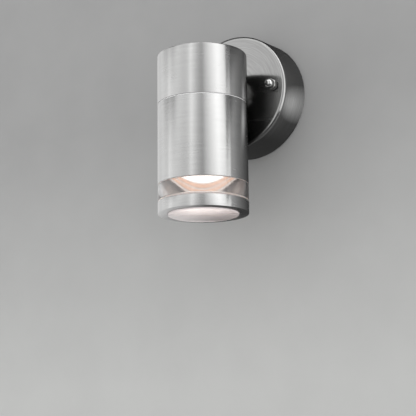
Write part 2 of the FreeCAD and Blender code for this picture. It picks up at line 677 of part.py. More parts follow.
def paired_screws(name, distance, seat, grip, upward):
    """Two round-headed screws either side of the tube axis; the head lies on the seat's outer side."""
    piece = on_tube_axis(new_piece(name))
    head_offset = f"{seat} - screw_head_high" if upward else seat
    shank_offset = seat if upward else f"{seat} - ({grip})"
    heads = new_sketch(piece, "heads", "XY_Plane", head_offset)
    shanks = new_sketch(piece, "shanks", "XY_Plane", shank_offset)
    for sign in ("", "-"):
        circle(heads, f"{sign}{distance}", "0", "screw_head_dia / 2")
        circle(shanks, f"{sign}{distance}", "0", "screw_dia / 2")
    padded(piece, heads, "screw_head_high")
    padded(piece, shanks, grip)
    return piece


def lampholder_body():
    """Ceramic body: one round chamber for the pin heads, open below, with screw and wire holes."""
    piece = on_tube_axis(new_piece("lampholder_body"))
    round_body = new_sketch(piece, "round_body", "XY_Plane", COVER_TOP)
    circle(round_body, "0", "0", "holder_dia / 2")
    padded(piece, round_body, f"{HOLDER_TOP} - {COVER_TOP}")
    holder_screw_holes(piece)
    wires = new_sketch(piece, "wire_holes", "XY_Plane", HOLDER_TOP)
    for sign in ("", "-"):
        circle(wires, f"{sign}wire_entry_side", "-wire_entry_front", "wire_dia / 2 + hole_gap")
    pocket(piece, wires, "wire_entry_deep + hole_gap")
    chamber = new_sketch(piece, "chamber", "XY_Plane", COVER_TOP)
    circle(chamber, "0", "0", "(pin_spread + pin_head) / 2 + keyhole_gap")
    pocket(piece, chamber, f"{CHAMBER_TOP} - {COVER_TOP}", forward=True)
    return piece


def lampholder_cover():
    """Ceramic cover under the body: two keyhole slots for the lamp pins and two screw recesses."""
    piece = on_tube_axis(new_piece("lampholder_cover"))
    plate = new_sketch(piece, "plate", "XY_Plane", HOLDER_END)
    circle(plate, "0", "0", "cover_dia / 2")
    padded(piece, plate, "cover_thick")
    holder_screw_holes(piece)
    recesses = new_sketch(piece, "recesses", "XY_Plane", HOLDER_END)
    for sign in ("", "-"):
        circle(recesses, f"{sign}holder_screw_out", "0", "screw_head_dia / 2 + keyhole_gap")
    pocket(piece, recesses, "recess_deep", forward=True)
    keyhole_slots(piece)
    return piece


def holder_screw_holes(piece):
    screws = new_sketch(piece, "screw_holes", "XY_Plane")
    for sign in ("", "-"):
        circle(screws, f"{sign}holder_screw_out", "0", "screw_dia / 2 + hole_gap")
    pocket(piece, screws)


def keyhole_slots(piece):
    """Two slots round the tube axis, each from a round way in for the pin head to the locked pin."""
    half = "pin_neck / 2 + keyhole_gap"
    turned_x = "pin_spread / 2 * sin(lock_turn * 1 deg)"
    turned_y = "pin_spread / 2 * cos(lock_turn * 1 deg)"
    cuts = []
    round_ends = (
        ("way_in", turned_x, turned_y, "pin_head / 2 + keyhole_gap"),
        ("locked_end", "0", "pin_spread / 2", half),
    )
    for name, across, along, radius in round_ends:
        sketch = new_sketch(piece, name, "XY_Plane", HOLDER_END)
        circle(sketch, across, along, radius)
        cuts.append(pocket(piece, sketch, "cover_thick", forward=True))
    way = new_sketch(piece, "way", "YZ_Plane")
    outline(way, box_corners(f"pin_spread / 2 - ({half})", f"pin_spread / 2 + {half}", HOLDER_END, COVER_TOP))
    groove = piece.newObject("PartDesign::Groove", f"{piece.Name}_way_turn")
    groove.Profile = way
    groove.ReferenceAxis = (way, ["V_Axis"])
    groove.setExpression("Angle", sized("lock_turn"))
    groove.Reversed = True
    cuts.append(groove)
    pattern = piece.newObject("PartDesign::PolarPattern", f"{piece.Name}_pair")
    pattern.Originals = cuts
    pattern.Axis = (origin_part(piece, "Z_Axis"), [""])
    pattern.Angle = 360
    pattern.Occurrences = 2
    piece.Tip = pattern


def lampholder_contacts():
    """Contact plates above the locked pins."""
    piece = on_tube_axis(new_piece("lampholder_contacts"))
    sketch = new_sketch(piece, "plates", "XY_Plane", f"{CHAMBER_TOP} - contact_thick")
    for sign in ("", "-"):
        outline(sketch, box_corners("-contact_width / 2", "contact_width / 2",
                                    f"{sign}pin_spread / 2 - contact_width / 2",
                                    f"{sign}pin_spread / 2 + contact_width / 2"))
    padded(piece, sketch, "contact_thick")
    return piece


def holder_nuts():
    """Nuts of the lampholder screws, on the bridge."""
    piece = on_tube_axis(new_piece("holder_nuts"))
    sketch = new_sketch(piece, "nuts", "XY_Plane", BRIDGE_TOP)
    for sign in ("1", "-1"):
        outline(sketch, hexagon(f"{sign} * holder_screw_out", "0", "screw_nut_flats"))
        circle(sketch, f"{sign} * holder_screw_out", "0", "screw_dia / 2 + thread_gap")
    padded(piece, sketch, "screw_nut_high")
    return piece


# ---- Wires and earth tag -----------------------------------------------------------------------

LAMP_WIRE_TURN = math.radians(30)
EARTH_HEIGHT = -size("wire_ring")
CRIMP_END = size("axis_out") - size("bridge_width") / 2 - size("crimp_clear")


def wire(name, points, radii):
    """A round wire along straight runs joined by tangent arcs, one radius for each inner point."""
    edges = []
    start = points[0]
    for number, radius in enumerate(radii, start=1):
        corner = points[number]
        back = (points[number - 1] - corner).normalize()
        ahead = (points[number + 1] - corner).normalize()
        turn = math.pi - back.getAngle(ahead)
        reach = radius * math.tan(turn / 2)
        entry = corner + back * reach
        leave = corner + ahead * reach
        inward = (back + ahead).normalize()
        middle = corner + inward * (radius / math.cos(turn / 2) - radius)
        edges.append(Part.LineSegment(start, entry).toShape())
        edges.append(Part.Arc(entry, middle, leave).toShape())
        start = leave
    edges.append(Part.LineSegment(start, points[-1]).toShape())
    path = Part.Wire(edges)
    section = Part.Wire(Part.makeCircle(size("wire_dia") / 2, points[0], points[1] - points[0]))
    feature = doc.addObject("Part::Feature", name)
    feature.Label = name
    feature.Shape = path.makePipeShell([section], True, False)
    feature.Placement = Placement(Vector(0, 0, 0), Rotation())
    return feature


def lamp_wire(name, side):
    """Terminal, up to the rod, through the arm, over the bridge and down into the lampholder."""
    way_depth = size("strap_thick") + size("way_out")
    near = side * size("wire_ring") * math.cos(LAMP_WIRE_TURN)
    high = size("wire_ring") * math.sin(LAMP_WIRE_TURN)
    way = side * size("way_pitch")
    entry_x = side * size("wire_entry_side")
    entry_out = size("axis_out") + size("wire_entry_front")
    head_inside = size("axis_out") - tube_side() + size("tube_wall")
    rod_end = head_inside + size("saddle_high") + size("nipple_nut_high") + size("nipple_spare") / 2
    points = [
        Vector(way, -way_depth, -size("block_top_drop") - size("wire_grip")),
        Vector(way, -way_depth, -size("block_top_drop") + size("wire_grip") - size("wire_dia") / 2),
        Vector(near, -way_depth, high),
        Vector(near, -rod_end - size("wire_dia") * 2, high),
        Vector(entry_x, -entry_out + size("wire_entry_front"), size("wire_rise")),
        Vector(entry_x, -entry_out, size("wire_rise")),
        Vector(entry_x, -entry_out, -size("holder_drop") - size("wire_entry_deep")),
    ]
    sweep = size("wire_sweep")
    bend = size("wire_bend")
    return wire(name, points, [sweep, bend, sweep, sweep, bend])


def earth_wire():
    """Terminal, up to the rod and straight into the crimp of the earth tag."""
    way_depth = size("strap_thick") + size("way_out")
    points = [
        Vector(0, -way_depth, -size("block_top_drop") - size("wire_grip")),
        Vector(0, -way_depth, EARTH_HEIGHT),
        Vector(0, -CRIMP_END + size("hole_gap"), EARTH_HEIGHT),
    ]
    return wire("earth_wire", points, [size("wire_bend")])


def earth_tag():
    """Ring tag on the bridge with a crimped barrel round the earth wire."""
    piece = on_tube_axis(new_piece("earth_tag"))
    ring = new_sketch(piece, "ring", "XY_Plane", BRIDGE_TOP)
    circle(ring, "0", "tag_front", "tag_dia / 2")
    padded(piece, ring, "tag_thick")
    tongue = new_sketch(piece, "tongue", "XY_Plane", BRIDGE_TOP)
    outline(tongue, box_corners("-tag_tongue / 2", "tag_tongue / 2", "tag_front",
                                "bridge_width / 2 + crimp_clear + tag_tongue / 2"))
    padded(piece, tongue, "tag_thick")
    crimp = new_sketch(piece, "crimp", "XZ_Plane", "-bridge_width / 2 - crimp_clear - crimp_length")
    circle(crimp, "0", "-wire_ring", "crimp_dia / 2")
    padded(piece, crimp, "crimp_length")
    bore = new_sketch(piece, "crimp_bore", "XZ_Plane", "-bridge_width / 2 - crimp_clear - crimp_length")
    circle(bore, "0", "-wire_ring", "wire_dia / 2 + thread_gap")
    pocket(piece, bore, "crimp_length - hole_gap", forward=True)
    hole = new_sketch(piece, "screw_hole", "XY_Plane")
    circle(hole, "0", "tag_front", "screw_dia / 2 + hole_gap")
    pocket(piece, hole)
    return piece


def earth_screw():
    """Screw that clamps the earth tag to the bridge."""
    piece = on_tube_axis(new_piece("earth_screw"))
    head = new_sketch(piece, "head", "XY_Plane", f"{BRIDGE_TOP} + tag_thick")
    circle(head, "0", "tag_front", "screw_head_dia / 2")
    padded(piece, head, "screw_head_high")
    shank = new_sketch(piece, "shank", "XY_Plane", f"{HOLDER_TOP} + hole_gap")
    circle(shank, "0", "tag_front", "screw_dia / 2")
    padded(piece, shank, "bridge_thick + tag_thick - hole_gap")
    return piece


# ---- Barrel, which unscrews and draws down over the lamp ---------------------------------------

def barrel():
    """Open stainless tube below the groove."""
    piece = on_tube_axis(new_piece("barrel"))
    outside = TUBE_SIDE
    turned(piece, "tube", [(TUBE_INSIDE, BARREL_TOP), (f"{outside} - edge_break", BARREL_TOP),
                           (outside, f"{BARREL_TOP} - edge_break"), (outside, f"{BARREL_END} + edge_break"),
                           (f"{outside} - edge_break", BARREL_END), (TUBE_INSIDE, BARREL_END)])
    return piece


def barrel_thread_ring():
    """Ring in the barrel that screws onto the collar's spigot."""
    piece = on_tube_axis(new_piece("barrel_thread_ring"))
    outside = f"{TUBE_INSIDE} - press_gap"
    inside = f"{SPIGOT_SIDE} + ring_gap"
    low = f"{BARREL_TOP} - ring_drop - ring_length"
    turned(piece, "ring", [(inside, f"{BARREL_TOP} - ring_drop"), (outside, f"{BARREL_TOP} - ring_drop"),
                           (outside, low), (inside, low)])
    return piece


def lens_band():
    """Clear ring between barrel and bezel, with a spigot up into the barrel and one down to the lens."""
    piece = on_tube_axis(new_piece("lens_band"))
    upper = f"{TUBE_INSIDE} - 2 * press_gap"
    band = f"{TUBE_SIDE} - band_inset"
    lens_top = f"{LENS_END} + lens_thick"
    turned(piece, "ring", [(LENS_BORE, f"{BARREL_END} + lens_spigot"), (upper, f"{BARREL_END} + lens_spigot"),
                           (upper, f"{BARREL_END} - gasket_thick"), (band, f"{BARREL_END} - gasket_thick"),
                           (band, f"{BAND_END} + seat_thick"), (LENS_SIDE, f"{BAND_END} + seat_thick"),
                           (LENS_SIDE, lens_top), (LENS_BORE, lens_top)])
    return piece


def lens_disc():
    """Clear round lens: a flange on the end ring's lip, and a chamfered boss that stands out of its hole."""
    piece = on_tube_axis(new_piece("lens_disc"))
    lens_top = f"{LENS_END} + lens_thick"
    boss = f"({BEZEL_HOLE} - hole_gap)"
    face = f"{BEZEL_END} - lens_proud"
    turned(piece, "disc", [("0", face), (f"{boss} - lens_edge", face), (boss, f"{face} + lens_edge"),
                           (boss, LENS_END), (LENS_SIDE, LENS_END), (LENS_SIDE, lens_top), ("0", lens_top)])
    return piece


def lens_gaskets():
    """Soft rings at the clear band: a thin one above it and its thicker seat below."""
    piece = on_tube_axis(new_piece("lens_gaskets"))
    outside = f"{TUBE_SIDE} - 2 * band_inset"
    upper = f"{TUBE_INSIDE} - press_gap"
    sketch = new_sketch(piece, "sections", "XZ_Plane")
    outline(sketch, box_corners(upper, outside, f"{BARREL_END} - gasket_thick", BARREL_END))
    outline(sketch, box_corners(BEZEL_BORE, outside, BAND_END, f"{BAND_END} + seat_thick"))
    feature = piece.newObject("PartDesign::Revolution", "lens_gaskets_turn")
    feature.Profile = sketch
    feature.ReferenceAxis = (sketch, ["V_Axis"])
    feature.Angle = 360
    return piece


def bezel():
    """Stainless end ring that holds the lens, with the light opening."""
    piece = on_tube_axis(new_piece("bezel"))
    outside = TUBE_SIDE
    turned(piece, "ring", [(BEZEL_BORE, BAND_END), (f"{outside} - edge_break", BAND_END),
                           (outside, f"{BAND_END} - edge_break"), (outside, f"{BEZEL_END} + edge_break"),
                           (f"{outside} - edge_break", BEZEL_END), (BEZEL_HOLE, BEZEL_END),
                           (BEZEL_HOLE, LENS_END), (BEZEL_BORE, LENS_END)])
    return piece


# ---- Reflector lamp, which twists to lock ------------------------------------------------------

def lamp_base():
    """Moulded base under the lampholder."""
    piece = on_tube_axis(new_piece("lamp_base"))
    turned(piece, "base", [("0", LAMP_TOP), ("lamp_base_dia / 2 - edge_break", LAMP_TOP),
                           ("lamp_base_dia / 2", f"{LAMP_TOP} - edge_break"), ("lamp_base_dia / 2", LAMP_NECK),
                           ("0", LAMP_NECK)])
    return piece


def lamp_pins():
    """Two pins with mushroom heads that hook into the lampholder."""
    piece = on_tube_axis(new_piece("lamp_pins"))
    necks = new_sketch(piece, "necks", "XY_Plane", LAMP_TOP)
    heads = new_sketch(piece, "heads", "XY_Plane", f"{LAMP_TOP} + pin_neck_high")
    for sign in ("", "-"):
        circle(necks, "0", f"{sign}pin_spread / 2", "pin_neck / 2")
        circle(heads, "0", f"{sign}pin_spread / 2", "pin_head / 2")
    padded(piece, necks, "pin_neck_high")
    padded(piece, heads, "pin_head_high")
    return piece


def lamp_shell():
    """Lamp housing: narrow at the base, flared to a straight front rim with a recess."""
    piece = on_tube_axis(new_piece("lamp_shell"))
    recess = f"{LAMP_FACE} + lamp_recess"
    turned(piece, "housing", [("0", LAMP_NECK), ("lamp_neck_dia / 2", LAMP_NECK),
                              ("lamp_dia / 2 - lamp_rim", f"{LAMP_FACE} + lamp_collar_high + lamp_recess"),
                              ("lamp_dia / 2", f"{LAMP_FACE} + lamp_collar_high"), ("lamp_dia / 2", LAMP_FACE),
                              ("lamp_dia / 2 - lamp_rim", LAMP_FACE), ("lamp_dia / 2 - lamp_rim", recess),
                              ("0", recess)])
    return piece


def lamp_trim():
    """Three stepped rings from the lamp's rim up to its bright lens."""
    piece = on_tube_axis(new_piece("lamp_trim"))
    outside = "(lamp_dia / 2 - lamp_rim - press_gap)"
    inside = "(core_dia / 2 + press_gap)"
    back = f"{LAMP_FACE} + lamp_recess"
    rings = 3
    tread = f"({outside} - {inside}) / {rings}"
    corners = [(inside, back), (outside, back)]
    for step in range(rings):
        level = f"{LAMP_FACE} + {step} * core_sink / {rings}"
        corners.append((f"{outside} - {step} * {tread}", level))
        corners.append((f"{outside} - {step + 1} * {tread}", level))
    turned(piece, "rings", corners)
    return piece


def lamp_lens():
    """Bright lens in the middle of the lamp face, slightly crowned."""
    piece = on_tube_axis(new_piece("lamp_lens"))
    back = f"{LAMP_FACE} + lamp_recess"
    face = f"{LAMP_FACE} + core_sink"
    turned(piece, "lens", [("0", back), ("core_dia / 2", back), ("core_dia / 2", f"{face} + core_crown"),
                           ("core_dia / 4", face), ("0", face)])
    return piece


# ---- Assembly ----------------------------------------------------------------------------------

pieces = [
    canopy_shell(), canopy_gasket(), wall_bracket(), bracket_studs(), stud_lock_nuts(), cap_nut_seals(), cap_nuts(),
    terminal_block(), terminal_sleeves(), terminal_screws(), terminal_fixing_screw(),
    arm_tube(), arm_nipple(),
    nipple_nut("canopy_nipple_nut", "canopy_depth - canopy_wall - nipple_nut_high"),
    saddle_washer(),
    nipple_nut("head_nipple_nut", f"{HEAD_WALL} + saddle_high"),
    head_cap(), head_collar(), barrel_seal(), bridge_bracket(),
    paired_screws("bridge_screws", FOOT_SCREW, FOOT_TOP, "bridge_thick + foot_screw_grip", upward=False),
    lampholder_body(), lampholder_cover(), lampholder_contacts(),
    paired_screws("holder_screws", "holder_screw_out", f"({HOLDER_END} + recess_deep)",
                  "holder_height - recess_deep + bridge_thick + screw_nut_high", upward=True),
    holder_nuts(),
    lamp_wire("live_wire", 1), lamp_wire("neutral_wire", -1), earth_wire(), earth_tag(), earth_screw(),
    barrel(), barrel_thread_ring(), lens_band(), lens_disc(), lens_gaskets(), bezel(),
    lamp_base(), lamp_pins(), lamp_shell(), lamp_trim(), lamp_lens(),
]
doc.recompute()

for thing in doc.Objects:
    if {"Invalid", "Error"} & set(thing.State):
        raise RuntimeError(f"{thing.Name} did not build: {thing.State}")
for piece in pieces:
    if piece.Shape.isNull() or not piece.Shape.isValid():
        raise RuntimeError(f"{piece.Label} has no sound shape")

os.makedirs("parts", exist_ok=True)
for piece in pieces:
    piece.Shape.exportStep(f"parts/{piece.Label}.step")
    print(f"{piece.Label}: {len(piece.Shape.Solids)} solid(s), {piece.Shape.Volume:.1f} mm3")
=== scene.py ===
import math
import bmesh
import bpy
from mathutils import Matrix, Vector


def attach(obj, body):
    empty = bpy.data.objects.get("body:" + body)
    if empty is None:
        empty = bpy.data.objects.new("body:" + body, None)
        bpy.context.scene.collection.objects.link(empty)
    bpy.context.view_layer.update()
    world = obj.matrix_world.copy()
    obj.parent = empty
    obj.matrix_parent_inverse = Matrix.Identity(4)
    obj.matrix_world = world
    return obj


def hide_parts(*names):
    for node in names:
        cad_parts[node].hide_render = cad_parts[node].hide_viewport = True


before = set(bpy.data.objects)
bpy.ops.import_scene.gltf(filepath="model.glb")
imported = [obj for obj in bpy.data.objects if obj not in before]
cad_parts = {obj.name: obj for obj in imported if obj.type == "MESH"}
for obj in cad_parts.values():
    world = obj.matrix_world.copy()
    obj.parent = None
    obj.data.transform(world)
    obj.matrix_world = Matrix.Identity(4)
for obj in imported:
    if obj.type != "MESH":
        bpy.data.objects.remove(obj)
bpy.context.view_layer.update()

MM = 0.001
QUARTER = math.radians(90)
TUBE_AXIS = Vector((0.0, -66.5, 0.0)) * MM

# ------------------------------------------------------------------------------------------------
# Canopy: a dish pressed from 1 mm stainless sheet, slightly tapered, with a soft front edge, and
# brushed in circles round its middle. It slips over the two wall studs and the hollow rod.
# ------------------------------------------------------------------------------------------------


def deselect_all():
    bpy.ops.object.select_all(action="DESELECT")


def pick(test):
    """Selects the points that pass the test, and the edges and faces between them."""
    mesh = bmesh.from_edit_mesh(bpy.context.object.data)
    for point in mesh.verts:
        point.select = test(point.co)
    mesh.select_flush_mode()
    bmesh.update_edit_mesh(bpy.context.object.data)


def turned(name, section, rounding=(), axis="Z", steps=192, smooth=30):
    """Draws half a section, point by point as (radius, height) in mm, rounds its corners and spins it.
    axis Z is the tube's own axis; axis Y is the canopy's, with height measured along +Y."""
    def place(radius, height):
        if axis == "Z":
            return TUBE_AXIS + Vector((radius, 0.0, height)) * MM
        return Vector((radius, height, 0.0)) * MM

    deselect_all()
    start = place(*section[0])
    bpy.ops.mesh.primitive_plane_add(size=0.1 * MM, location=start)
    piece = bpy.context.object
    piece.name = name
    bpy.ops.object.transform_apply(location=True, rotation=True, scale=True)
    bpy.ops.object.mode_set(mode="EDIT")
    bpy.ops.mesh.select_mode(type="VERT")
    bpy.ops.mesh.merge(type="CENTER")
    here = start
    closed = section[0][0] > 0 or section[-1][0] > 0
    route = list(section[1:]) + ([section[0]] if closed else [])
    for corner in route:
        there = place(*corner)
        bpy.ops.mesh.extrude_vertices_move(TRANSFORM_OT_translate={"value": there - here})
        here = there
    bpy.ops.mesh.select_all(action="SELECT")
    bpy.ops.mesh.remove_doubles(threshold=0.0005 * MM)
    for radius, height, size in rounding:
        corner = place(radius, height)
        pick(lambda co: (co - corner).length < 0.002 * MM)
        bpy.ops.mesh.bevel(offset=size * MM, segments=8 if size > 0.6 else 3, affect="VERTICES")
    bpy.ops.mesh.select_all(action="SELECT")
    middle = TUBE_AXIS if axis == "Z" else Vector()
    bpy.ops.mesh.spin(steps=steps, angle=math.tau, center=middle, axis=(0, 0, 1) if axis == "Z" else (0, 1, 0))
    bpy.ops.mesh.select_all(action="SELECT")
    bpy.ops.mesh.remove_doubles(threshold=0.0005 * MM)
    bpy.ops.mesh.normals_make_consistent(inside=False)
    bpy.ops.object.mode_set(mode="OBJECT")
    bpy.ops.object.shade_smooth_by_angle(angle=math.radians(smooth))
    return piece


def joined(name, parts):
    """Joins meshes into one piece."""
    deselect_all()
    for part in parts:
        part.select_set(True)
    bpy.context.view_layer.objects.active = parts[0]
    bpy.ops.object.join()
    piece = bpy.context.object
    piece.name = name
    return piece


def settle(piece, finish, slot, body, *nodes):
    """Gives a finished piece its material and its body, and hides the CAD nodes it stands for; the slot argument is
    not used.
    """
    piece.data.materials.clear()
    piece.data.materials.append(finish)
    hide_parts(*nodes)
    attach(piece, body)


def dress(finish, *nodes):
    """Gives CAD nodes that stay in view their finish."""
    for name in nodes:
        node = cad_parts[name]
        if not node.material_slots:
            node.data.materials.append(finish)
        for holder in node.material_slots:
            holder.material = finish


class Bench:
    """A material or node group under construction: adds nodes and joins them."""

    def __init__(self, tree):
        self.tree = tree

    def add(self, kind, **settings):
        node = self.tree.nodes.new("ShaderNode" + kind)
        for name, value in settings.items():
            setattr(node, name, value)
        return node

    def join(self, source, target):
        self.tree.links.new(source, target)

    def math(self, operation, first, second=None):
        node = self.add("Math", operation=operation)
        for socket, value in zip(node.inputs, (first, second)):
            if isinstance(value, (int, float)):
                socket.default_value = value
            elif value is not None:
                self.join(value, socket)
        return node.outputs[0]

    def spread(self, value, low, high, start=0.0, end=1.0):
        """Maps a value between two levels onto a new range."""
        node = self.add("MapRange")
        self.join(value, node.inputs["Value"])
        node.inputs["From Min"].default_value = low
        node.inputs["From Max"].default_value = high
        node.inputs["To Min"].default_value = start
        node.inputs["To Max"].default_value = end
        return node.outputs["Result"]

    def blend(self, factor, first, second):
        """Mixes two colours by a value."""
        node = self.add("Mix", data_type="RGBA")
        self.join(factor, node.inputs["Factor"])
        for socket, value in ((node.inputs[6], first), (node.inputs[7], second)):
            if isinstance(value, tuple):
                socket.default_value = (*value, 1.0)
            else:
                self.join(value, socket)
        return node.outputs[2]

    def noise(self, vector, scale, detail=3.0, roughness=0.5):
        node = self.add("TexNoise")
        self.join(vector, node.inputs["Vector"])
        node.inputs["Scale"].default_value = scale
        node.inputs["Detail"].default_value = detail
        node.inputs["Roughness"].default_value = roughness
        return node.outputs["Fac"]

    def tint(self, colour, value):
        """Multiplies a colour by a value."""
        node = self.add("VectorMath", operation="SCALE")
        if isinstance(colour, tuple):
            node.inputs[0].default_value = colour
        else:
            self.join(colour, node.inputs[0])
        self.join(value, node.inputs["Scale"])
        return node.outputs[0]

    def from_axis(self):
        """Distance from the tube's axis, in millimetres."""
        across = self.add("VectorMath", operation="SUBTRACT")
        self.join(self.place, across.inputs[0])
        across.inputs[1].default_value = TUBE_AXIS
        flat = self.add("VectorMath", operation="MULTIPLY")
        self.join(across.outputs[0], flat.inputs[0])
        flat.inputs[1].default_value = (1 / MM, 1 / MM, 0.0)
        length = self.add("VectorMath", operation="LENGTH")
        self.join(flat.outputs[0], length.inputs[0])
        return length.outputs["Value"]

    def bump(self, height, strength, distance):
        node = self.add("Bump")
        node.inputs["Strength"].default_value = strength
        node.inputs["Distance"].default_value = distance
        self.join(height, node.inputs["Height"])
        self.join(node.outputs["Normal"], self.shader.inputs["Normal"])


def new_finish(name, **sockets):
    """A new material with its shader, whose constant values are set on the shader's own sockets."""
    material = bpy.data.materials.new(name)
    material.use_nodes = True
    bench = Bench(material.node_tree)
    bench.shader = material.node_tree.nodes["Principled BSDF"]
    bench.material = material
    for socket, value in sockets.items():
        socket = bench.shader.inputs[socket.replace("_", " ")]
        socket.default_value = (*value, 1.0) if isinstance(value, tuple) else value
    bench.place = bench.add("TexCoord").outputs["Object"]
    return bench


def new_group(name, inputs, outputs):
    group = bpy.data.node_groups.new(name, "ShaderNodeTree")
    for label, kind, value in inputs:
        socket = group.interface.new_socket(label, in_out="INPUT", socket_type="NodeSocket" + kind)
        if value is not None:
            socket.default_value = value
    for label in outputs:
        group.interface.new_socket(label, in_out="OUTPUT", socket_type="NodeSocketFloat")
    bench = Bench(group)
    bench.inlet = group.nodes.new("NodeGroupInput")
    bench.outlet = group.nodes.new("NodeGroupOutput")
    return bench


# Brushing: fine lines that run round an axis and change fast along it or outwards from it.
brushing = new_group("brushing", [("Place", "Vector", None), ("Lines per mm", "Float", 2.0),
                                  ("Broken", "Float", 2.0)], ["Line", "Fine line"])
round_axis = brushing.add("VectorMath", operation="MULTIPLY")
brushing.join(brushing.inlet.outputs["Place"], round_axis.inputs[0])
round_axis.inputs[1].default_value = (1.0, 1.0, 0.0)
outward = brushing.add("VectorMath", operation="LENGTH")
brushing.join(round_axis.outputs[0], outward.inputs[0])
heading = brushing.add("VectorMath", operation="NORMALIZE")
brushing.join(round_axis.outputs[0], heading.inputs[0])
around = brushing.add("VectorMath", operation="SCALE")
brushing.join(heading.outputs[0], around.inputs[0])
brushing.join(brushing.inlet.outputs["Broken"], around.inputs["Scale"])
along = brushing.add("SeparateXYZ")
brushing.join(brushing.inlet.outputs["Place"], along.inputs[0])
reach = brushing.math("ADD", along.outputs["Z"], outward.outputs["Value"])
fast = brushing.math("MULTIPLY", brushing.math("MULTIPLY", reach, 1 / MM), brushing.inlet.outputs["Lines per mm"])
turn = brushing.add("SeparateXYZ")
brushing.join(around.outputs[0], turn.inputs[0])
line_place = brushing.add("CombineXYZ")
brushing.join(turn.outputs["X"], line_place.inputs["X"])
brushing.join(turn.outputs["Y"], line_place.inputs["Y"])
brushing.join(fast, line_place.inputs["Z"])
brushing.join(brushing.noise(line_place.outputs[0], 1.0, 3.0, 0.6), brushing.outlet.inputs["Line"])
brushing.join(brushing.noise(line_place.outputs[0], 3.1, 2.0, 0.7), brushing.outlet.inputs["Fine line"])

# Handling: broad, weak clouds where fingers and cloths have dulled a surface.
handling = new_group("handling", [("Place", "Vector", None), ("Size mm", "Float", 12.0)], ["Cloud", "Speck"])
scaled = handling.add("VectorMath", operation="SCALE")
handling.join(handling.inlet.outputs["Place"], scaled.inputs[0])
handling.join(handling.math("DIVIDE", 1 / MM, handling.inlet.outputs["Size mm"]), scaled.inputs["Scale"])
handling.join(handling.noise(scaled.outputs[0], 1.0, 4.0, 0.55), handling.outlet.inputs["Cloud"])
handling.join(handling.noise(scaled.outputs[0], 14.0, 2.0, 0.6), handling.outlet.inputs["Speck"])


def place_group(bench, group, vector, **values):
    node = bench.add("Group", node_tree=group.tree)
    bench.join(vector, node.inputs["Place"])
    for label, value in values.items():
        node.inputs[label.replace("_", " ")].default_value = value
    return node.outputs


def brushed_steel(name, axis, low, high, roughness, streak, lines=1.6, broken=1.4, blur=0.97):
    """Steel brushed round an axis: reflections stay sharp round it and stretch along it."""
    steel = new_finish(name, Metallic=1.0, Anisotropic=blur, Anisotropic_Rotation=0.25)
    grain = steel.add("Tangent", direction_type="RADIAL", axis=axis)
    steel.join(grain.outputs[0], steel.shader.inputs["Tangent"])
    centre = steel.add("Mapping")
    steel.join(steel.place, centre.inputs["Vector"])
    if axis == "Z":
        centre.inputs["Location"].default_value = -TUBE_AXIS
    else:
        centre.inputs["Rotation"].default_value = (QUARTER, 0, 0)
    lines_out = place_group(steel, brushing, centre.outputs[0], Lines_per_mm=lines, Broken=broken)
    marks = place_group(steel, handling, steel.place, Size_mm=16.0)
    tone = steel.math("ADD", steel.math("MULTIPLY", lines_out["Line"], 0.8),
                      steel.math("MULTIPLY", lines_out["Fine line"], 0.2))
    steel.join(steel.blend(steel.spread(tone, 0.32, 0.68), low, high), steel.shader.inputs["Base Color"])
    dulled = steel.math("ADD", steel.spread(tone, 0.3, 0.7, roughness - streak, roughness + streak),
                        steel.spread(marks["Cloud"], 0.35, 0.7, -0.012, 0.02))
    steel.join(dulled, steel.shader.inputs["Roughness"])
    steel.bump(lines_out["Line"], 0.10, 0.012 * MM)
    return steel.material


canopy_steel = brushed_steel("canopy_steel", "Y", (0.42, 0.42, 0.415), (0.52, 0.52, 0.515), 0.15, 0.025, lines=1.4,
                             broken=2.0, blur=0.7)
DISH_RADIUS, DISH_DEPTH, DISH_TAPER, SHEET, DISH_EDGE = 42.5, 26.0, 1.5, 1.0, 2.5
ROD_HOLE, RIM_EDGE = 5.1, 0.15
DISH_FRONT = DISH_RADIUS - DISH_TAPER
DISH_INSIDE = DISH_RADIUS - SHEET - DISH_TAPER * (DISH_DEPTH - SHEET) / DISH_DEPTH
dish = turned("canopy_dish", [
    (ROD_HOLE, -DISH_DEPTH), (DISH_FRONT, -DISH_DEPTH), (DISH_RADIUS, 0.0), (DISH_RADIUS - SHEET, 0.0),
    (DISH_INSIDE, SHEET - DISH_DEPTH), (ROD_HOLE, SHEET - DISH_DEPTH),
], rounding=[
    (DISH_FRONT, -DISH_DEPTH, DISH_EDGE), (DISH_INSIDE, SHEET - DISH_DEPTH, DISH_EDGE - SHEET),
    (DISH_RADIUS, 0.0, RIM_EDGE), (DISH_RADIUS - SHEET, 0.0, RIM_EDGE),
], axis="Y", steps=256, smooth=35)
settle(dish, canopy_steel, "canopy_steel", "fixture", "canopy_shell")

# ------------------------------------------------------------------------------------------------
# Canopy gasket: a ring of closed-cell foam rubber, punched from sheet and pressed inside the rim,
# where it seals against the wall. Its cut faces show small open cells.
# ------------------------------------------------------------------------------------------------

foam = new_finish("foam_rubber", Roughness=0.88, Specular_IOR_Level=0.3)
cells = foam.add("TexVoronoi", feature="F1")
foam.join(foam.place, cells.inputs["Vector"])
cells.inputs["Scale"].default_value = 1 / (0.55 * MM)
foam_marks = place_group(foam, handling, foam.place, Size_mm=7.0)
foam.join(foam.blend(foam.spread(foam_marks["Cloud"], 0.35, 0.65), (0.035, 0.035, 0.036), (0.065, 0.065, 0.063)),
          foam.shader.inputs["Base Color"])
foam.bump(cells.outputs["Distance"], 0.35, 0.12 * MM)
dress(foam.material, "canopy_gasket")

# ------------------------------------------------------------------------------------------------
# Wall bracket and bridge bracket: blanked from 1.5 and 1.3 mm steel sheet and zinc plated. The wall
# bracket is a flat plate on the wall; the bridge is bent and carries the lampholder in the head.
# ------------------------------------------------------------------------------------------------

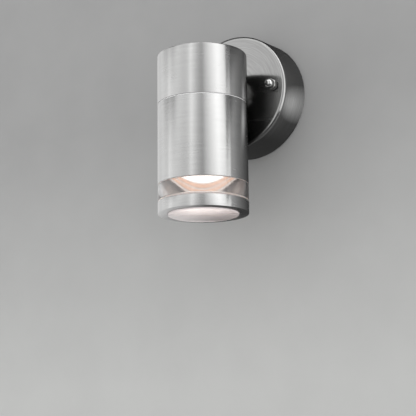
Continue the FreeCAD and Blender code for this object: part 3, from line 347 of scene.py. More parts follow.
zinc_sheet = new_finish("zinc_sheet", Metallic=1.0)
spangle = zinc_sheet.add("TexVoronoi", feature="F1")
zinc_sheet.join(zinc_sheet.place, spangle.inputs["Vector"])
spangle.inputs["Scale"].default_value = 1 / (3.2 * MM)
sheet_marks = place_group(zinc_sheet, handling, zinc_sheet.place, Size_mm=9.0)
leaf = zinc_sheet.add("SeparateColor")
zinc_sheet.join(spangle.outputs["Color"], leaf.inputs[0])
leafy = zinc_sheet.math("ADD", zinc_sheet.math("MULTIPLY", leaf.outputs[0], 0.45),
                        zinc_sheet.math("MULTIPLY", sheet_marks["Cloud"], 0.55))
zinc_sheet.join(zinc_sheet.blend(zinc_sheet.spread(leafy, 0.2, 0.8), (0.46, 0.48, 0.50), (0.64, 0.65, 0.66)),
                zinc_sheet.shader.inputs["Base Color"])
zinc_sheet.join(zinc_sheet.spread(leafy, 0.2, 0.8, 0.34, 0.52), zinc_sheet.shader.inputs["Roughness"])
zinc_sheet.bump(sheet_marks["Speck"], 0.1, 0.03 * MM)
dress(zinc_sheet.material, "wall_bracket", "bridge_bracket")

# ------------------------------------------------------------------------------------------------
# Fasteners: studs, nuts, hollow rod, saddle washer and screws, turned or headed from steel and
# zinc plated. They hold the bracket, the canopy, the arm, the head and the lampholder together.
# ------------------------------------------------------------------------------------------------


def smooth_copy(node, name):
    """A copy of a turned CAD piece, its points merged so that its round faces shade as round."""
    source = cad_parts[node]
    piece = bpy.data.objects.new(name, source.data.copy())
    bpy.context.scene.collection.objects.link(piece)
    deselect_all()
    piece.select_set(True)
    bpy.context.view_layer.objects.active = piece
    bpy.ops.object.mode_set(mode="EDIT")
    bpy.ops.mesh.select_all(action="SELECT")
    bpy.ops.mesh.remove_doubles(threshold=0.001 * MM)
    bpy.ops.object.mode_set(mode="OBJECT")
    bpy.ops.object.shade_smooth_by_angle(angle=math.radians(28))
    return piece


zinc_fastener = new_finish("zinc_fastener", Metallic=1.0)
plating = place_group(zinc_fastener, handling, zinc_fastener.place, Size_mm=3.0)
zinc_fastener.join(zinc_fastener.blend(zinc_fastener.spread(plating["Cloud"], 0.3, 0.7), (0.52, 0.53, 0.52),
                                       (0.68, 0.68, 0.65)), zinc_fastener.shader.inputs["Base Color"])
zinc_fastener.join(zinc_fastener.spread(plating["Speck"], 0.3, 0.7, 0.26, 0.42),
                   zinc_fastener.shader.inputs["Roughness"])
zinc_fastener.bump(plating["Speck"], 0.08, 0.02 * MM)
for fastener in ("bracket_studs", "stud_lock_nuts", "terminal_fixing_screw", "terminal_screws", "arm_nipple",
                 "canopy_nipple_nut", "saddle_washer", "head_nipple_nut", "bridge_screws", "holder_screws",
                 "holder_nuts"):
    settle(smooth_copy(fastener, "made_" + fastener), zinc_fastener.material, "zinc_fastener", "fixture", fastener)

# ------------------------------------------------------------------------------------------------
# Cap nuts: polished stainless acorn nuts, a 7 mm hexagon with a dome in front. They screw onto the
# studs and press the canopy to the wall, each over a small black sealing washer.
# ------------------------------------------------------------------------------------------------

STUD_OUT, NUT_BASE, NUT_FLATS, NUT_HIGH, NUT_TIP, NUT_EDGE = 32.0, -26.8, 7.0, 3.2, -34.8, 0.22
DOME_RADIUS, DOME_ROUND, DOME_SINK = 3.25, 3.1, 0.05
SEAL_RADIUS, SEAL_HOLE, SEAL_EDGE = 3.4, 2.1, 0.2

polished = new_finish("polished_nut", Metallic=1.0)
nut_marks = place_group(polished, handling, polished.place, Size_mm=2.5)
polished.join(polished.blend(polished.spread(nut_marks["Cloud"], 0.3, 0.7), (0.72, 0.72, 0.71), (0.80, 0.80, 0.79)),
              polished.shader.inputs["Base Color"])
polished.join(polished.spread(nut_marks["Speck"], 0.35, 0.7, 0.07, 0.14), polished.shader.inputs["Roughness"])
polished.bump(nut_marks["Speck"], 0.05, 0.01 * MM)

nut_parts = []
for side in (1, -1):
    deselect_all()
    bpy.ops.mesh.primitive_cylinder_add(
        vertices=6, radius=NUT_FLATS / math.sqrt(3) * MM, depth=NUT_HIGH * MM, rotation=(QUARTER, 0, 0),
        location=Vector((side * STUD_OUT, NUT_BASE - NUT_HIGH / 2, 0)) * MM)
    hexagon = bpy.context.object
    bpy.ops.object.transform_apply(location=True, rotation=True, scale=True)
    bpy.ops.object.mode_set(mode="EDIT")
    bpy.ops.mesh.select_mode(type="EDGE")
    bpy.ops.mesh.select_all(action="SELECT")
    bpy.ops.mesh.bevel(offset=NUT_EDGE * MM, segments=3, affect="EDGES")
    bpy.ops.object.mode_set(mode="OBJECT")
    bpy.ops.object.shade_smooth_by_angle(angle=math.radians(40))
    nut_parts.append(hexagon)
    dome_foot = NUT_BASE - NUT_HIGH + DOME_SINK
    dome = turned("dome", [(0.0, NUT_TIP), (DOME_RADIUS, NUT_TIP), (DOME_RADIUS, dome_foot), (0.0, dome_foot)],
                  rounding=[(DOME_RADIUS, NUT_TIP, DOME_ROUND)], axis="Y", steps=64, smooth=40)
    dome.location.x = side * STUD_OUT * MM
    bpy.ops.object.transform_apply(location=True, rotation=False, scale=False)
    nut_parts.append(dome)
settle(joined("acorn_nuts", nut_parts), polished.material, "polished_nut", "fixture", "cap_nuts")

black_rubber = new_finish("black_rubber", Roughness=0.55)
rubber_marks = place_group(black_rubber, handling, black_rubber.place, Size_mm=5.0)
black_rubber.join(black_rubber.blend(black_rubber.spread(rubber_marks["Cloud"], 0.35, 0.65), (0.016, 0.016, 0.017),
                                     (0.034, 0.034, 0.034)), black_rubber.shader.inputs["Base Color"])
black_rubber.join(black_rubber.spread(rubber_marks["Speck"], 0.3, 0.7, 0.45, 0.65),
                  black_rubber.shader.inputs["Roughness"])
black_rubber.bump(rubber_marks["Speck"], 0.12, 0.03 * MM)
seal_parts = []
for side in (1, -1):
    seal = turned("seal", [(SEAL_HOLE, -DISH_DEPTH), (SEAL_RADIUS, -DISH_DEPTH), (SEAL_RADIUS, NUT_BASE),
                           (SEAL_HOLE, NUT_BASE)],
                  rounding=[(SEAL_RADIUS, -DISH_DEPTH, SEAL_EDGE), (SEAL_RADIUS, NUT_BASE, SEAL_EDGE)],
                  axis="Y", steps=64)
    seal.location.x = side * STUD_OUT * MM
    bpy.ops.object.transform_apply(location=True, rotation=False, scale=False)
    seal_parts.append(seal)
settle(joined("nut_seals", seal_parts), black_rubber.material, "black_rubber", "fixture", "cap_nut_seals")

# ------------------------------------------------------------------------------------------------
# Terminal block: moulded in milky plastic, screwed to the bracket's tab. Brass sleeves inside hold
# the supply and the lamp wires under steel clamp screws.
# ------------------------------------------------------------------------------------------------

block_plastic = new_finish("block_plastic", IOR=1.5, Subsurface_Weight=0.12)
block_marks = place_group(block_plastic, handling, block_plastic.place, Size_mm=6.0)
block_plastic.join(block_plastic.blend(block_plastic.spread(block_marks["Cloud"], 0.3, 0.7), (0.74, 0.74, 0.71),
                                       (0.84, 0.84, 0.81)), block_plastic.shader.inputs["Base Color"])
block_plastic.join(block_plastic.spread(block_marks["Speck"], 0.3, 0.7, 0.4, 0.55),
                   block_plastic.shader.inputs["Roughness"])
block_plastic.bump(block_marks["Speck"], 0.1, 0.04 * MM)
settle(smooth_copy("terminal_block", "made_terminal_block"), block_plastic.material, "block_plastic", "fixture",
       "terminal_block")

brass = new_finish("brass_part", Metallic=1.0)
brass_marks = place_group(brass, handling, brass.place, Size_mm=3.5)
brass.join(brass.blend(brass.spread(brass_marks["Cloud"], 0.3, 0.7), (0.60, 0.42, 0.17), (0.78, 0.60, 0.29)),
           brass.shader.inputs["Base Color"])
brass.join(brass.spread(brass_marks["Speck"], 0.3, 0.7, 0.22, 0.4), brass.shader.inputs["Roughness"])
brass.bump(brass_marks["Speck"], 0.08, 0.02 * MM)
for part in ("terminal_sleeves", "earth_screw", "earth_tag", "lampholder_contacts"):
    settle(smooth_copy(part, "made_" + part), brass.material, "brass_part", "fixture", part)

# ------------------------------------------------------------------------------------------------
# Arm: a short piece of stainless tube, square at the canopy and cut to the tube's round in front.
# It is only held by the nuts on the hollow rod that runs through it.
# ------------------------------------------------------------------------------------------------

arm_steel = new_finish("arm_steel", Metallic=1.0, Anisotropic=0.7, Anisotropic_Rotation=0.25)
arm_grain = arm_steel.add("Tangent", direction_type="RADIAL", axis="Y")
arm_steel.join(arm_grain.outputs[0], arm_steel.shader.inputs["Tangent"])
arm_turn = arm_steel.add("Mapping")
arm_turn.inputs["Rotation"].default_value = (QUARTER, 0, 0)
arm_steel.join(arm_steel.place, arm_turn.inputs["Vector"])
arm_lines = place_group(arm_steel, brushing, arm_turn.outputs[0], Lines_per_mm=2.0, Broken=1.2)
arm_steel.join(arm_steel.blend(arm_steel.spread(arm_lines["Line"], 0.3, 0.7), (0.50, 0.50, 0.49), (0.62, 0.62, 0.61)),
               arm_steel.shader.inputs["Base Color"])
arm_steel.join(arm_steel.spread(arm_lines["Line"], 0.3, 0.7, 0.27, 0.38), arm_steel.shader.inputs["Roughness"])
arm_steel.bump(arm_lines["Fine line"], 0.15, 0.015 * MM)
settle(smooth_copy("arm_tube", "made_arm_tube"), arm_steel.material, "arm_steel", "fixture", "arm_tube")

# ------------------------------------------------------------------------------------------------
# Head: the upper, closed part of the stainless tube, drawn from sheet with a tight top edge and
# brushed round the tube. The rod's nut clamps its back wall to the arm.
# ------------------------------------------------------------------------------------------------

TUBE_RADIUS, TUBE_WALL, CUT_EDGE = 30.0, 1.2, 0.25
HEAD_TOP, HEAD_END, TOP_EDGE = 15.2, -18.75, 0.9

tube_steel = brushed_steel("tube_steel", "Z", (0.64, 0.64, 0.635), (0.71, 0.71, 0.705), 0.25, 0.02)
head = turned("head_tube", [
    (0.0, HEAD_TOP), (TUBE_RADIUS, HEAD_TOP), (TUBE_RADIUS, HEAD_END), (TUBE_RADIUS - TUBE_WALL, HEAD_END),
    (TUBE_RADIUS - TUBE_WALL, HEAD_TOP - TUBE_WALL), (0.0, HEAD_TOP - TUBE_WALL),
], rounding=[(TUBE_RADIUS, HEAD_TOP, TOP_EDGE), (TUBE_RADIUS, HEAD_END, CUT_EDGE)], steps=256)
settle(head, tube_steel, "tube_steel", "fixture", "head_cap")

# ------------------------------------------------------------------------------------------------
# Collar and thread ring: turned aluminium. The collar is fixed in the head, its spigot guides the
# barrel and is the groove's floor, lit partly by a painted glow; the thread ring is pressed into the barrel.
# ------------------------------------------------------------------------------------------------

aluminium = new_finish("collar_aluminium", Metallic=0.2, Anisotropic=0.6, Anisotropic_Rotation=0.25,
                       Emission_Strength=1.0)
ring_grain = aluminium.add("Tangent", direction_type="RADIAL", axis="Z")
aluminium.join(ring_grain.outputs[0], aluminium.shader.inputs["Tangent"])
ring_centre = aluminium.add("Mapping")
ring_centre.inputs["Location"].default_value = -TUBE_AXIS
aluminium.join(aluminium.place, ring_centre.inputs["Vector"])
tool_marks = place_group(aluminium, brushing, ring_centre.outputs[0], Lines_per_mm=4.0, Broken=0.3)
aluminium.join(aluminium.blend(aluminium.spread(tool_marks["Line"], 0.3, 0.7), (0.86, 0.86, 0.87),
                               (0.96, 0.96, 0.97)), aluminium.shader.inputs["Base Color"])
aluminium.join(aluminium.spread(tool_marks["Fine line"], 0.3, 0.7, 0.24, 0.36), aluminium.shader.inputs["Roughness"])
aluminium.bump(tool_marks["Line"], 0.2, 0.02 * MM)
# Light bounces many times in the narrow groove; a weak painted glow, seen by the camera alone, stands for it.
GROOVE, GROOVE_REACH = 0.5, 0.4
groove_height = aluminium.add("SeparateXYZ")
aluminium.join(aluminium.place, groove_height.inputs[0])
in_groove = aluminium.math("COMPARE", groove_height.outputs["Z"], (HEAD_END - GROOVE / 2) * MM)
in_groove.node.inputs[2].default_value = GROOVE_REACH * MM
painted_groove_glow = aluminium.math("MULTIPLY", in_groove, aluminium.add("LightPath").outputs["Is Camera Ray"])
aluminium.join(aluminium.tint((0.485, 0.485, 0.48), painted_groove_glow), aluminium.shader.inputs["Emission Color"])
settle(smooth_copy("head_collar", "made_head_collar"), aluminium.material, "collar_aluminium", "fixture",
       "head_collar")
settle(smooth_copy("barrel_thread_ring", "made_thread_ring"), aluminium.material, "collar_aluminium", "barrel",
       "barrel_thread_ring")
settle(smooth_copy("barrel_seal", "made_barrel_seal"), black_rubber.material, "black_rubber", "fixture",
       "barrel_seal")

# ------------------------------------------------------------------------------------------------
# Lampholder: two pieces of pressed steatite ceramic with curved keyhole slots, screwed together
# under the bridge. The fired faces are matt, faintly speckled and a little warm.
# ------------------------------------------------------------------------------------------------

ceramic = new_finish("white_ceramic", IOR=1.55, Subsurface_Weight=0.06)
fired = place_group(ceramic, handling, ceramic.place, Size_mm=4.0)
ceramic.join(ceramic.blend(ceramic.spread(fired["Speck"], 0.25, 0.6), (0.74, 0.72, 0.68), (0.86, 0.85, 0.82)),
             ceramic.shader.inputs["Base Color"])
ceramic.join(ceramic.spread(fired["Cloud"], 0.3, 0.7, 0.5, 0.68), ceramic.shader.inputs["Roughness"])
ceramic.bump(fired["Speck"], 0.2, 0.04 * MM)
for part in ("lampholder_body", "lampholder_cover"):
    settle(smooth_copy(part, "made_" + part), ceramic.material, "white_ceramic", "fixture", part)

# ------------------------------------------------------------------------------------------------
# Wires: single cores in coloured silicone insulation, from the terminals through the hollow rod
# to the lampholder, and the earth wire to its tag on the head.
# ------------------------------------------------------------------------------------------------

for node, slot, deep, pale in (("live_wire", "brown_wire", (0.16, 0.065, 0.03), (0.24, 0.10, 0.045)),
                               ("neutral_wire", "blue_wire", (0.03, 0.11, 0.38), (0.06, 0.18, 0.52)),
                               ("earth_wire", "green_wire", (0.13, 0.38, 0.07), (0.22, 0.50, 0.11))):
    insulation = new_finish(slot, IOR=1.45, Coat_Weight=0.15, Coat_Roughness=0.2)
    skin = place_group(insulation, handling, insulation.place, Size_mm=4.0)
    insulation.join(insulation.blend(insulation.spread(skin["Cloud"], 0.3, 0.7), deep, pale),
                    insulation.shader.inputs["Base Color"])
    insulation.join(insulation.spread(skin["Speck"], 0.3, 0.7, 0.32, 0.46), insulation.shader.inputs["Roughness"])
    insulation.bump(skin["Speck"], 0.08, 0.02 * MM)
    settle(smooth_copy(node, "made_" + node), insulation.material, slot, "fixture", node)

# ------------------------------------------------------------------------------------------------
# Barrel: the lower stainless tube, cut square with broken edges and brushed like the head. It
# carries the clear band and the bezel and draws down over the lamp.
# ------------------------------------------------------------------------------------------------

BARREL_TOP, BARREL_END = -19.25, -73.45
barrel_tube = turned("barrel_tube", [
    (TUBE_RADIUS - TUBE_WALL, BARREL_TOP), (TUBE_RADIUS, BARREL_TOP), (TUBE_RADIUS, BARREL_END),
    (TUBE_RADIUS - TUBE_WALL, BARREL_END),
], rounding=[(TUBE_RADIUS, BARREL_TOP, CUT_EDGE), (TUBE_RADIUS, BARREL_END, CUT_EDGE)], steps=256)
settle(barrel_tube, tube_steel, "tube_steel", "barrel", "barrel")

# ------------------------------------------------------------------------------------------------
# Clear band and round lens: moulded clear acrylic. The band's spigots sit in barrel and bezel, and
# the lens lies on the bezel's lip and stands out of its hole. Its inner face is lightly frosted.
# ------------------------------------------------------------------------------------------------

BAND_BORE, BAND_RADIUS, BAND_END, BAND_EDGE, GASKET, SEAT = 27.3, 29.9, -85.25, 0.2, 0.35, 1.1
SPIGOT_REACH, SPIGOT_RADIUS = 5.0, 28.7
SPIGOT_TOP = BARREL_END + SPIGOT_REACH
LENS_RADIUS, LENS_TOP, LENS_SEAT, LENS_FACE = 28.4, -87.55, -91.55, -93.85
BOSS_RADIUS, BOSS_EDGE = 23.5, 0.6

# The bore's skin is a little hazy, so that it catches the lamp's light; the rest is clear.
acrylic = new_finish("clear_lens", IOR=1.49, Transmission_Weight=0.84)
polish = place_group(acrylic, handling, acrylic.place, Size_mm=8.0)
acrylic.join(acrylic.spread(polish["Cloud"], 0.35, 0.7, 0.0, 0.02), acrylic.shader.inputs["Roughness"])
bore_mask = acrylic.spread(acrylic.from_axis(), BAND_BORE + 0.05, BAND_BORE + 0.2, 1.0, 0.0)
acrylic.join(acrylic.spread(bore_mask, 0.0, 1.0, 1.0, 0.68), acrylic.shader.inputs["Transmission Weight"])
acrylic.join(acrylic.blend(bore_mask, (0.985, 0.98, 0.985), (0.96, 0.91, 0.88)), acrylic.shader.inputs["Base Color"])
acrylic.bump(polish["Speck"], 0.02, 0.01 * MM)
band = turned("clear_band", [
    (BAND_BORE, SPIGOT_TOP), (SPIGOT_RADIUS, SPIGOT_TOP), (SPIGOT_RADIUS, BARREL_END - GASKET),
    (BAND_RADIUS, BARREL_END - GASKET), (BAND_RADIUS, BAND_END + SEAT), (LENS_RADIUS, BAND_END + SEAT),
    (LENS_RADIUS, LENS_TOP), (BAND_BORE, LENS_TOP),
], rounding=[(BAND_RADIUS, BARREL_END - GASKET, BAND_EDGE), (BAND_RADIUS, BAND_END + SEAT, BAND_EDGE)], steps=256)
settle(band, acrylic.material, "clear_lens", "barrel", "lens_band")

frosted = new_finish("frosted_lens", Transmission_Weight=1.0, IOR=1.49, Base_Color=(0.985, 0.965, 0.97),
                     Emission_Strength=1.0)
frost_height = frosted.add("SeparateXYZ")
frosted.join(frosted.place, frost_height.inputs[0])
frost_marks = place_group(frosted, handling, frosted.place, Size_mm=8.0)
inner_face = frosted.spread(frost_height.outputs["Z"], (LENS_TOP - 0.3) * MM, (LENS_TOP - 0.1) * MM)
frosted.join(frosted.math("ADD", frosted.spread(inner_face, 0.0, 1.0, 0.02, 0.7),
                          frosted.math("MULTIPLY", frost_marks["Cloud"], 0.02)), frosted.shader.inputs["Roughness"])
# The lamp's light in the frosted face is a weak painted glow.
painted_lamp_glow = frosted.blend(frost_marks["Cloud"], (0.86, 0.80, 0.86), (0.95, 0.86, 0.83))
frosted.join(frosted.tint(painted_lamp_glow, frosted.math("MULTIPLY", inner_face, 0.3)),
             frosted.shader.inputs["Emission Color"])
frosted.bump(frost_marks["Speck"], 0.02, 0.01 * MM)
lens = turned("round_lens", [
    (0.0, LENS_FACE), (BOSS_RADIUS, LENS_FACE), (BOSS_RADIUS, LENS_SEAT), (LENS_RADIUS, LENS_SEAT),
    (LENS_RADIUS, LENS_TOP), (0.0, LENS_TOP),
], rounding=[(BOSS_RADIUS, LENS_FACE, BOSS_EDGE)], steps=256)
settle(lens, frosted.material, "clear_lens", "barrel", "lens_disc")

# ------------------------------------------------------------------------------------------------
# Soft rings at the clear band: translucent silicone, moulded. A thin one closes the joint under the
# barrel, and a thicker one is the band's seat on the bezel, where it catches the lamp's light.
# ------------------------------------------------------------------------------------------------

UPPER_RING_BORE, LOWER_RING_BORE, RING_RADIUS, THIN_EDGE, SEAT_EDGE = 28.75, 28.5, 29.8, 0.1, 0.15

silicone = new_finish("pale_silicone", IOR=1.41, Subsurface_Weight=0.5, Transmission_Weight=0.25)
silicone.shader.inputs["Subsurface Radius"].default_value = (0.002, 0.0015, 0.0013)
silicone_marks = place_group(silicone, handling, silicone.place, Size_mm=5.0)
silicone.join(silicone.blend(silicone.spread(silicone_marks["Cloud"], 0.3, 0.7), (0.84, 0.74, 0.70),
                             (0.90, 0.82, 0.79)), silicone.shader.inputs["Base Color"])
silicone.join(silicone.spread(silicone_marks["Speck"], 0.3, 0.7, 0.3, 0.42), silicone.shader.inputs["Roughness"])
silicone.bump(silicone_marks["Speck"], 0.06, 0.02 * MM)
ring_parts = [
    turned("upper_ring", [(UPPER_RING_BORE, BARREL_END - GASKET), (RING_RADIUS, BARREL_END - GASKET),
                          (RING_RADIUS, BARREL_END), (UPPER_RING_BORE, BARREL_END)],
           rounding=[(RING_RADIUS, BARREL_END, THIN_EDGE)]),
    turned("lower_ring", [(LOWER_RING_BORE, BAND_END), (RING_RADIUS, BAND_END), (RING_RADIUS, BAND_END + SEAT),
                          (LOWER_RING_BORE, BAND_END + SEAT)],
           rounding=[(RING_RADIUS, BAND_END, SEAT_EDGE), (RING_RADIUS, BAND_END + SEAT, SEAT_EDGE)]),
]
settle(joined("band_rings", ring_parts), silicone.material, "pale_silicone", "barrel", "lens_gaskets")

# ------------------------------------------------------------------------------------------------
# Bezel: turned stainless end ring, brushed like the tube, with a lip that carries the lens and a
# round light opening. It is glued to the lower spigot of the clear band.
# ------------------------------------------------------------------------------------------------

BEZEL_END, BEZEL_BORE, LIGHT_RADIUS, LIGHT_EDGE = -93.05, 28.5, 23.6, 0.2
bezel_ring = turned("bezel_ring", [
    (BEZEL_BORE, BAND_END), (TUBE_RADIUS, BAND_END), (TUBE_RADIUS, BEZEL_END), (LIGHT_RADIUS, BEZEL_END),
    (LIGHT_RADIUS, LENS_SEAT), (BEZEL_BORE, LENS_SEAT),
], rounding=[
    (TUBE_RADIUS, BAND_END, CUT_EDGE), (TUBE_RADIUS, BEZEL_END, CUT_EDGE), (LIGHT_RADIUS, BEZEL_END, LIGHT_EDGE),
], steps=256)
settle(bezel_ring, tube_steel, "tube_steel", "barrel", "bezel")

# ------------------------------------------------------------------------------------------------
# Lamp: a reflector lamp with a pale moulded housing, stepped cream rings round a bright crowned
# lens, and a base with two mushroom pins that twist into the lampholder.
# ------------------------------------------------------------------------------------------------

LAMP_FACE, LAMP_RADIUS, LAMP_RIM, RECESS, NECK_RADIUS, NECK_TOP = -70.0, 25.0, 1.0, 4.5, 15.0, -28.5
FACE_EDGE, BODY_EDGE, STRAIGHT_FRONT = 0.4, 0.8, 11.5
CORE_RADIUS, CORE_SINK, CROWN, CORE_EDGE, CROWN_ROUND, FACET = 16.5, 2.3, 0.8, 0.3, 3.0, 1.6
TRIM_GAP, TRIM_STEPS, STEP_EDGE = 0.05, 3, 0.25

housing = new_finish("lamp_housing", IOR=1.48)
moulded = place_group(housing, handling, housing.place, Size_mm=8.0)
housing.join(housing.blend(housing.spread(moulded["Cloud"], 0.3, 0.7), (0.76, 0.76, 0.74), (0.84, 0.84, 0.82)),
             housing.shader.inputs["Base Color"])
housing.join(housing.spread(moulded["Speck"], 0.3, 0.7, 0.36, 0.5), housing.shader.inputs["Roughness"])
housing.bump(moulded["Speck"], 0.08, 0.03 * MM)
shell = turned("lamp_housing", [
    (0.0, NECK_TOP), (NECK_RADIUS, NECK_TOP), (LAMP_RADIUS - LAMP_RIM, LAMP_FACE + STRAIGHT_FRONT + RECESS),
    (LAMP_RADIUS, LAMP_FACE + STRAIGHT_FRONT), (LAMP_RADIUS, LAMP_FACE), (LAMP_RADIUS - LAMP_RIM, LAMP_FACE),
    (LAMP_RADIUS - LAMP_RIM, LAMP_FACE + RECESS), (0.0, LAMP_FACE + RECESS),
], rounding=[(LAMP_RADIUS, LAMP_FACE, FACE_EDGE), (LAMP_RADIUS, LAMP_FACE + STRAIGHT_FRONT, BODY_EDGE),
             (NECK_RADIUS, NECK_TOP, BODY_EDGE)], smooth=20)
settle(shell, housing.material, "lamp_housing", "lamp", "lamp_shell")

lamp_plastic = new_finish("lamp_plastic", IOR=1.48, Subsurface_Weight=0.05)
base_marks = place_group(lamp_plastic, handling, lamp_plastic.place, Size_mm=6.0)
lamp_plastic.join(lamp_plastic.blend(lamp_plastic.spread(base_marks["Cloud"], 0.3, 0.7), (0.76, 0.76, 0.73),
                                     (0.84, 0.84, 0.81)), lamp_plastic.shader.inputs["Base Color"])
lamp_plastic.join(lamp_plastic.spread(base_marks["Speck"], 0.3, 0.7, 0.42, 0.56),
                  lamp_plastic.shader.inputs["Roughness"])
lamp_plastic.bump(base_marks["Speck"], 0.1, 0.03 * MM)
settle(smooth_copy("lamp_base", "made_lamp_base"), lamp_plastic.material, "lamp_plastic", "lamp", "lamp_base")

pin_metal = new_finish("pin_metal", Metallic=1.0)
pin_marks = place_group(pin_metal, handling, pin_metal.place, Size_mm=2.0)
pin_metal.join(pin_metal.blend(pin_metal.spread(pin_marks["Cloud"], 0.3, 0.7), (0.58, 0.58, 0.58),
                               (0.72, 0.72, 0.72)), pin_metal.shader.inputs["Base Color"])
pin_metal.join(pin_metal.spread(pin_marks["Speck"], 0.3, 0.7, 0.2, 0.34), pin_metal.shader.inputs["Roughness"])
pin_metal.bump(pin_marks["Speck"], 0.06, 0.01 * MM)
settle(smooth_copy("lamp_pins", "made_lamp_pins"), pin_metal.material, "pin_metal", "lamp", "lamp_pins")

trim_edge = LAMP_RADIUS - LAMP_RIM - TRIM_GAP
trim_hole = CORE_RADIUS + TRIM_GAP
tread = (trim_edge - trim_hole) / TRIM_STEPS
riser = CORE_SINK / TRIM_STEPS

lamp_rings = new_finish("lamp_rings", IOR=1.5, Emission_Strength=1.0)
from_middle = lamp_rings.from_axis()
ripple = lamp_rings.math("SINE", lamp_rings.math("MULTIPLY", from_middle, math.tau / tread))
from_core = lamp_rings.spread(from_middle, CORE_RADIUS + 0.9, CORE_RADIUS + 1.4)
outlined = lamp_rings.blend(lamp_rings.spread(ripple, -1.0, -0.35), (0.78, 0.52, 0.38), (0.90, 0.85, 0.80))
ring_tone = lamp_rings.blend(from_core, (1.0, 0.98, 0.95), outlined)
lamp_rings.join(ring_tone, lamp_rings.shader.inputs["Base Color"])
lamp_rings.join(lamp_rings.tint(ring_tone, lamp_rings.spread(from_core, 0.0, 1.0, 1.1, 0.6)),
                lamp_rings.shader.inputs["Emission Color"])
lamp_rings.join(lamp_rings.spread(ripple, -1.0, 1.0, 0.28, 0.42), lamp_rings.shader.inputs["Roughness"])
trim = turned("lamp_trim_rings", [
    (trim_hole, LAMP_FACE + RECESS), (trim_edge, LAMP_FACE + RECESS), (trim_edge, LAMP_FACE),
    (trim_edge - tread, LAMP_FACE), (trim_edge - tread, LAMP_FACE + riser),
    (trim_edge - 2 * tread, LAMP_FACE + riser), (trim_edge - 2 * tread, LAMP_FACE + 2 * riser),
    (trim_hole, LAMP_FACE + 2 * riser),
], rounding=[(trim_edge - tread, LAMP_FACE, STEP_EDGE), (trim_edge - 2 * tread, LAMP_FACE + riser, STEP_EDGE),
             (trim_hole, LAMP_FACE + 2 * riser, STEP_EDGE)])
settle(trim, lamp_rings.material, "lamp_rings", "lamp", "lamp_trim")

lamp_core = new_finish("lamp_core", IOR=1.5, Emission_Strength=1.7)
core_place = lamp_core.add("Mapping")
core_place.inputs["Location"].default_value = -TUBE_AXIS
lamp_core.join(lamp_core.place, core_place.inputs["Vector"])
facets = lamp_core.add("TexVoronoi", feature="F1")
lamp_core.join(core_place.outputs[0], facets.inputs["Vector"])
facets.inputs["Scale"].default_value = 1 / (FACET * MM)
lit = lamp_core.blend(lamp_core.spread(facets.outputs["Distance"], 0.1, 0.8), (1.0, 0.985, 0.965), (1.0, 0.96, 0.91))
lamp_core.join(lit, lamp_core.shader.inputs["Base Color"])
lamp_core.join(lit, lamp_core.shader.inputs["Emission Color"])
lamp_core.join(lamp_core.spread(facets.outputs["Distance"], 0.1, 0.8, 0.15, 0.3),
               lamp_core.shader.inputs["Roughness"])
lamp_core.bump(facets.outputs["Distance"], 0.3, 0.1 * MM)
core_face = LAMP_FACE + CORE_SINK
core = turned("lamp_bright_lens", [
    (0.0, LAMP_FACE + RECESS), (CORE_RADIUS, LAMP_FACE + RECESS), (CORE_RADIUS, core_face + CROWN),
    (CORE_RADIUS / 2, core_face), (0.0, core_face),
], rounding=[(CORE_RADIUS, core_face + CROWN, CORE_EDGE), (CORE_RADIUS / 2, core_face, CROWN_ROUND)])
settle(core, lamp_core.material, "lamp_core", "lamp", "lamp_lens")

# ------------------------------------------------------------------------------------------------
# Studio: a grey board where the wall is, with painted light and painted reflections, a pale floor, soft light
# and the camera. None of it is part of the object. The board is open behind the canopy and clear from
# behind, so the back shows.
# ------------------------------------------------------------------------------------------------

BOARD_RADIUS, BOARD_HOLE, BOARD_GAP = 1100.0, 37.0, 0.6
BOARD_WIDE = 400.0
PAINTED_SPOT_BESIDE = (53.0, BOARD_GAP, -12.0)
FLOOR_SIDE, FLOOR_DROP = 5000.0, -1200.0


def level_ramp(bench, value, stops):
    """Grey levels along a value from 0 to 1, each stop as (place, level); levels may reach 2."""
    ramp = bench.add("ValToRGB")
    bench.join(value, ramp.inputs["Fac"])
    while len(ramp.color_ramp.elements) < len(stops):
        ramp.color_ramp.elements.new(0.5)
    for stop, (place, level) in zip(ramp.color_ramp.elements, stops):
        stop.position = place
        stop.color = (level / 2, level / 2, level / 2, 1.0)
    return bench.math("MULTIPLY", ramp.outputs["Color"], 2.0)


def dimmed(bench, level):
    """Weakens a level for light that has already bounced between polished faces."""
    bounces = bench.add("LightPath").outputs["Glossy Depth"]
    return bench.math("MULTIPLY", level, bench.spread(bounces, 1.0, 2.5, 1.0, 0.03))


def glossy_choice(bench, plain, boxes, outlet):
    """Shows reflections a look of their own, soft boxes in the air and painted reflections on the board and floor,
    and the plain look to everything else.
    """
    choice = bench.add("MixShader")
    bench.join(bench.add("LightPath").outputs["Is Glossy Ray"], choice.inputs["Fac"])
    bench.join(plain, choice.inputs[1])
    bench.join(boxes, choice.inputs[2])
    bench.join(choice.outputs[0], outlet)


deselect_all()
bpy.ops.mesh.primitive_circle_add(vertices=96, radius=BOARD_HOLE * MM, fill_type="NOTHING",
                                  location=(0, BOARD_GAP * MM, 0), rotation=(QUARTER, 0, 0))
board = bpy.context.object
board.name = "wall_board"
bpy.ops.object.transform_apply(location=True, rotation=True, scale=True)
bpy.ops.object.mode_set(mode="EDIT")
bpy.ops.mesh.select_all(action="SELECT")
bpy.ops.mesh.extrude_edges_move()
bpy.ops.transform.resize(value=(BOARD_RADIUS / BOARD_HOLE, 1.0, BOARD_RADIUS / BOARD_HOLE),
                         center_override=(0, BOARD_GAP * MM, 0))
bpy.ops.mesh.select_all(action="SELECT")
bpy.ops.mesh.flip_normals()
bpy.ops.object.mode_set(mode="OBJECT")
plaster = new_finish("wall_board", Roughness=0.9, Specular_IOR_Level=0.1)
plaster_marks = place_group(plaster, handling, plaster.place, Size_mm=45.0)
plaster_place = plaster.add("SeparateXYZ")
plaster.join(plaster.place, plaster_place.inputs[0])
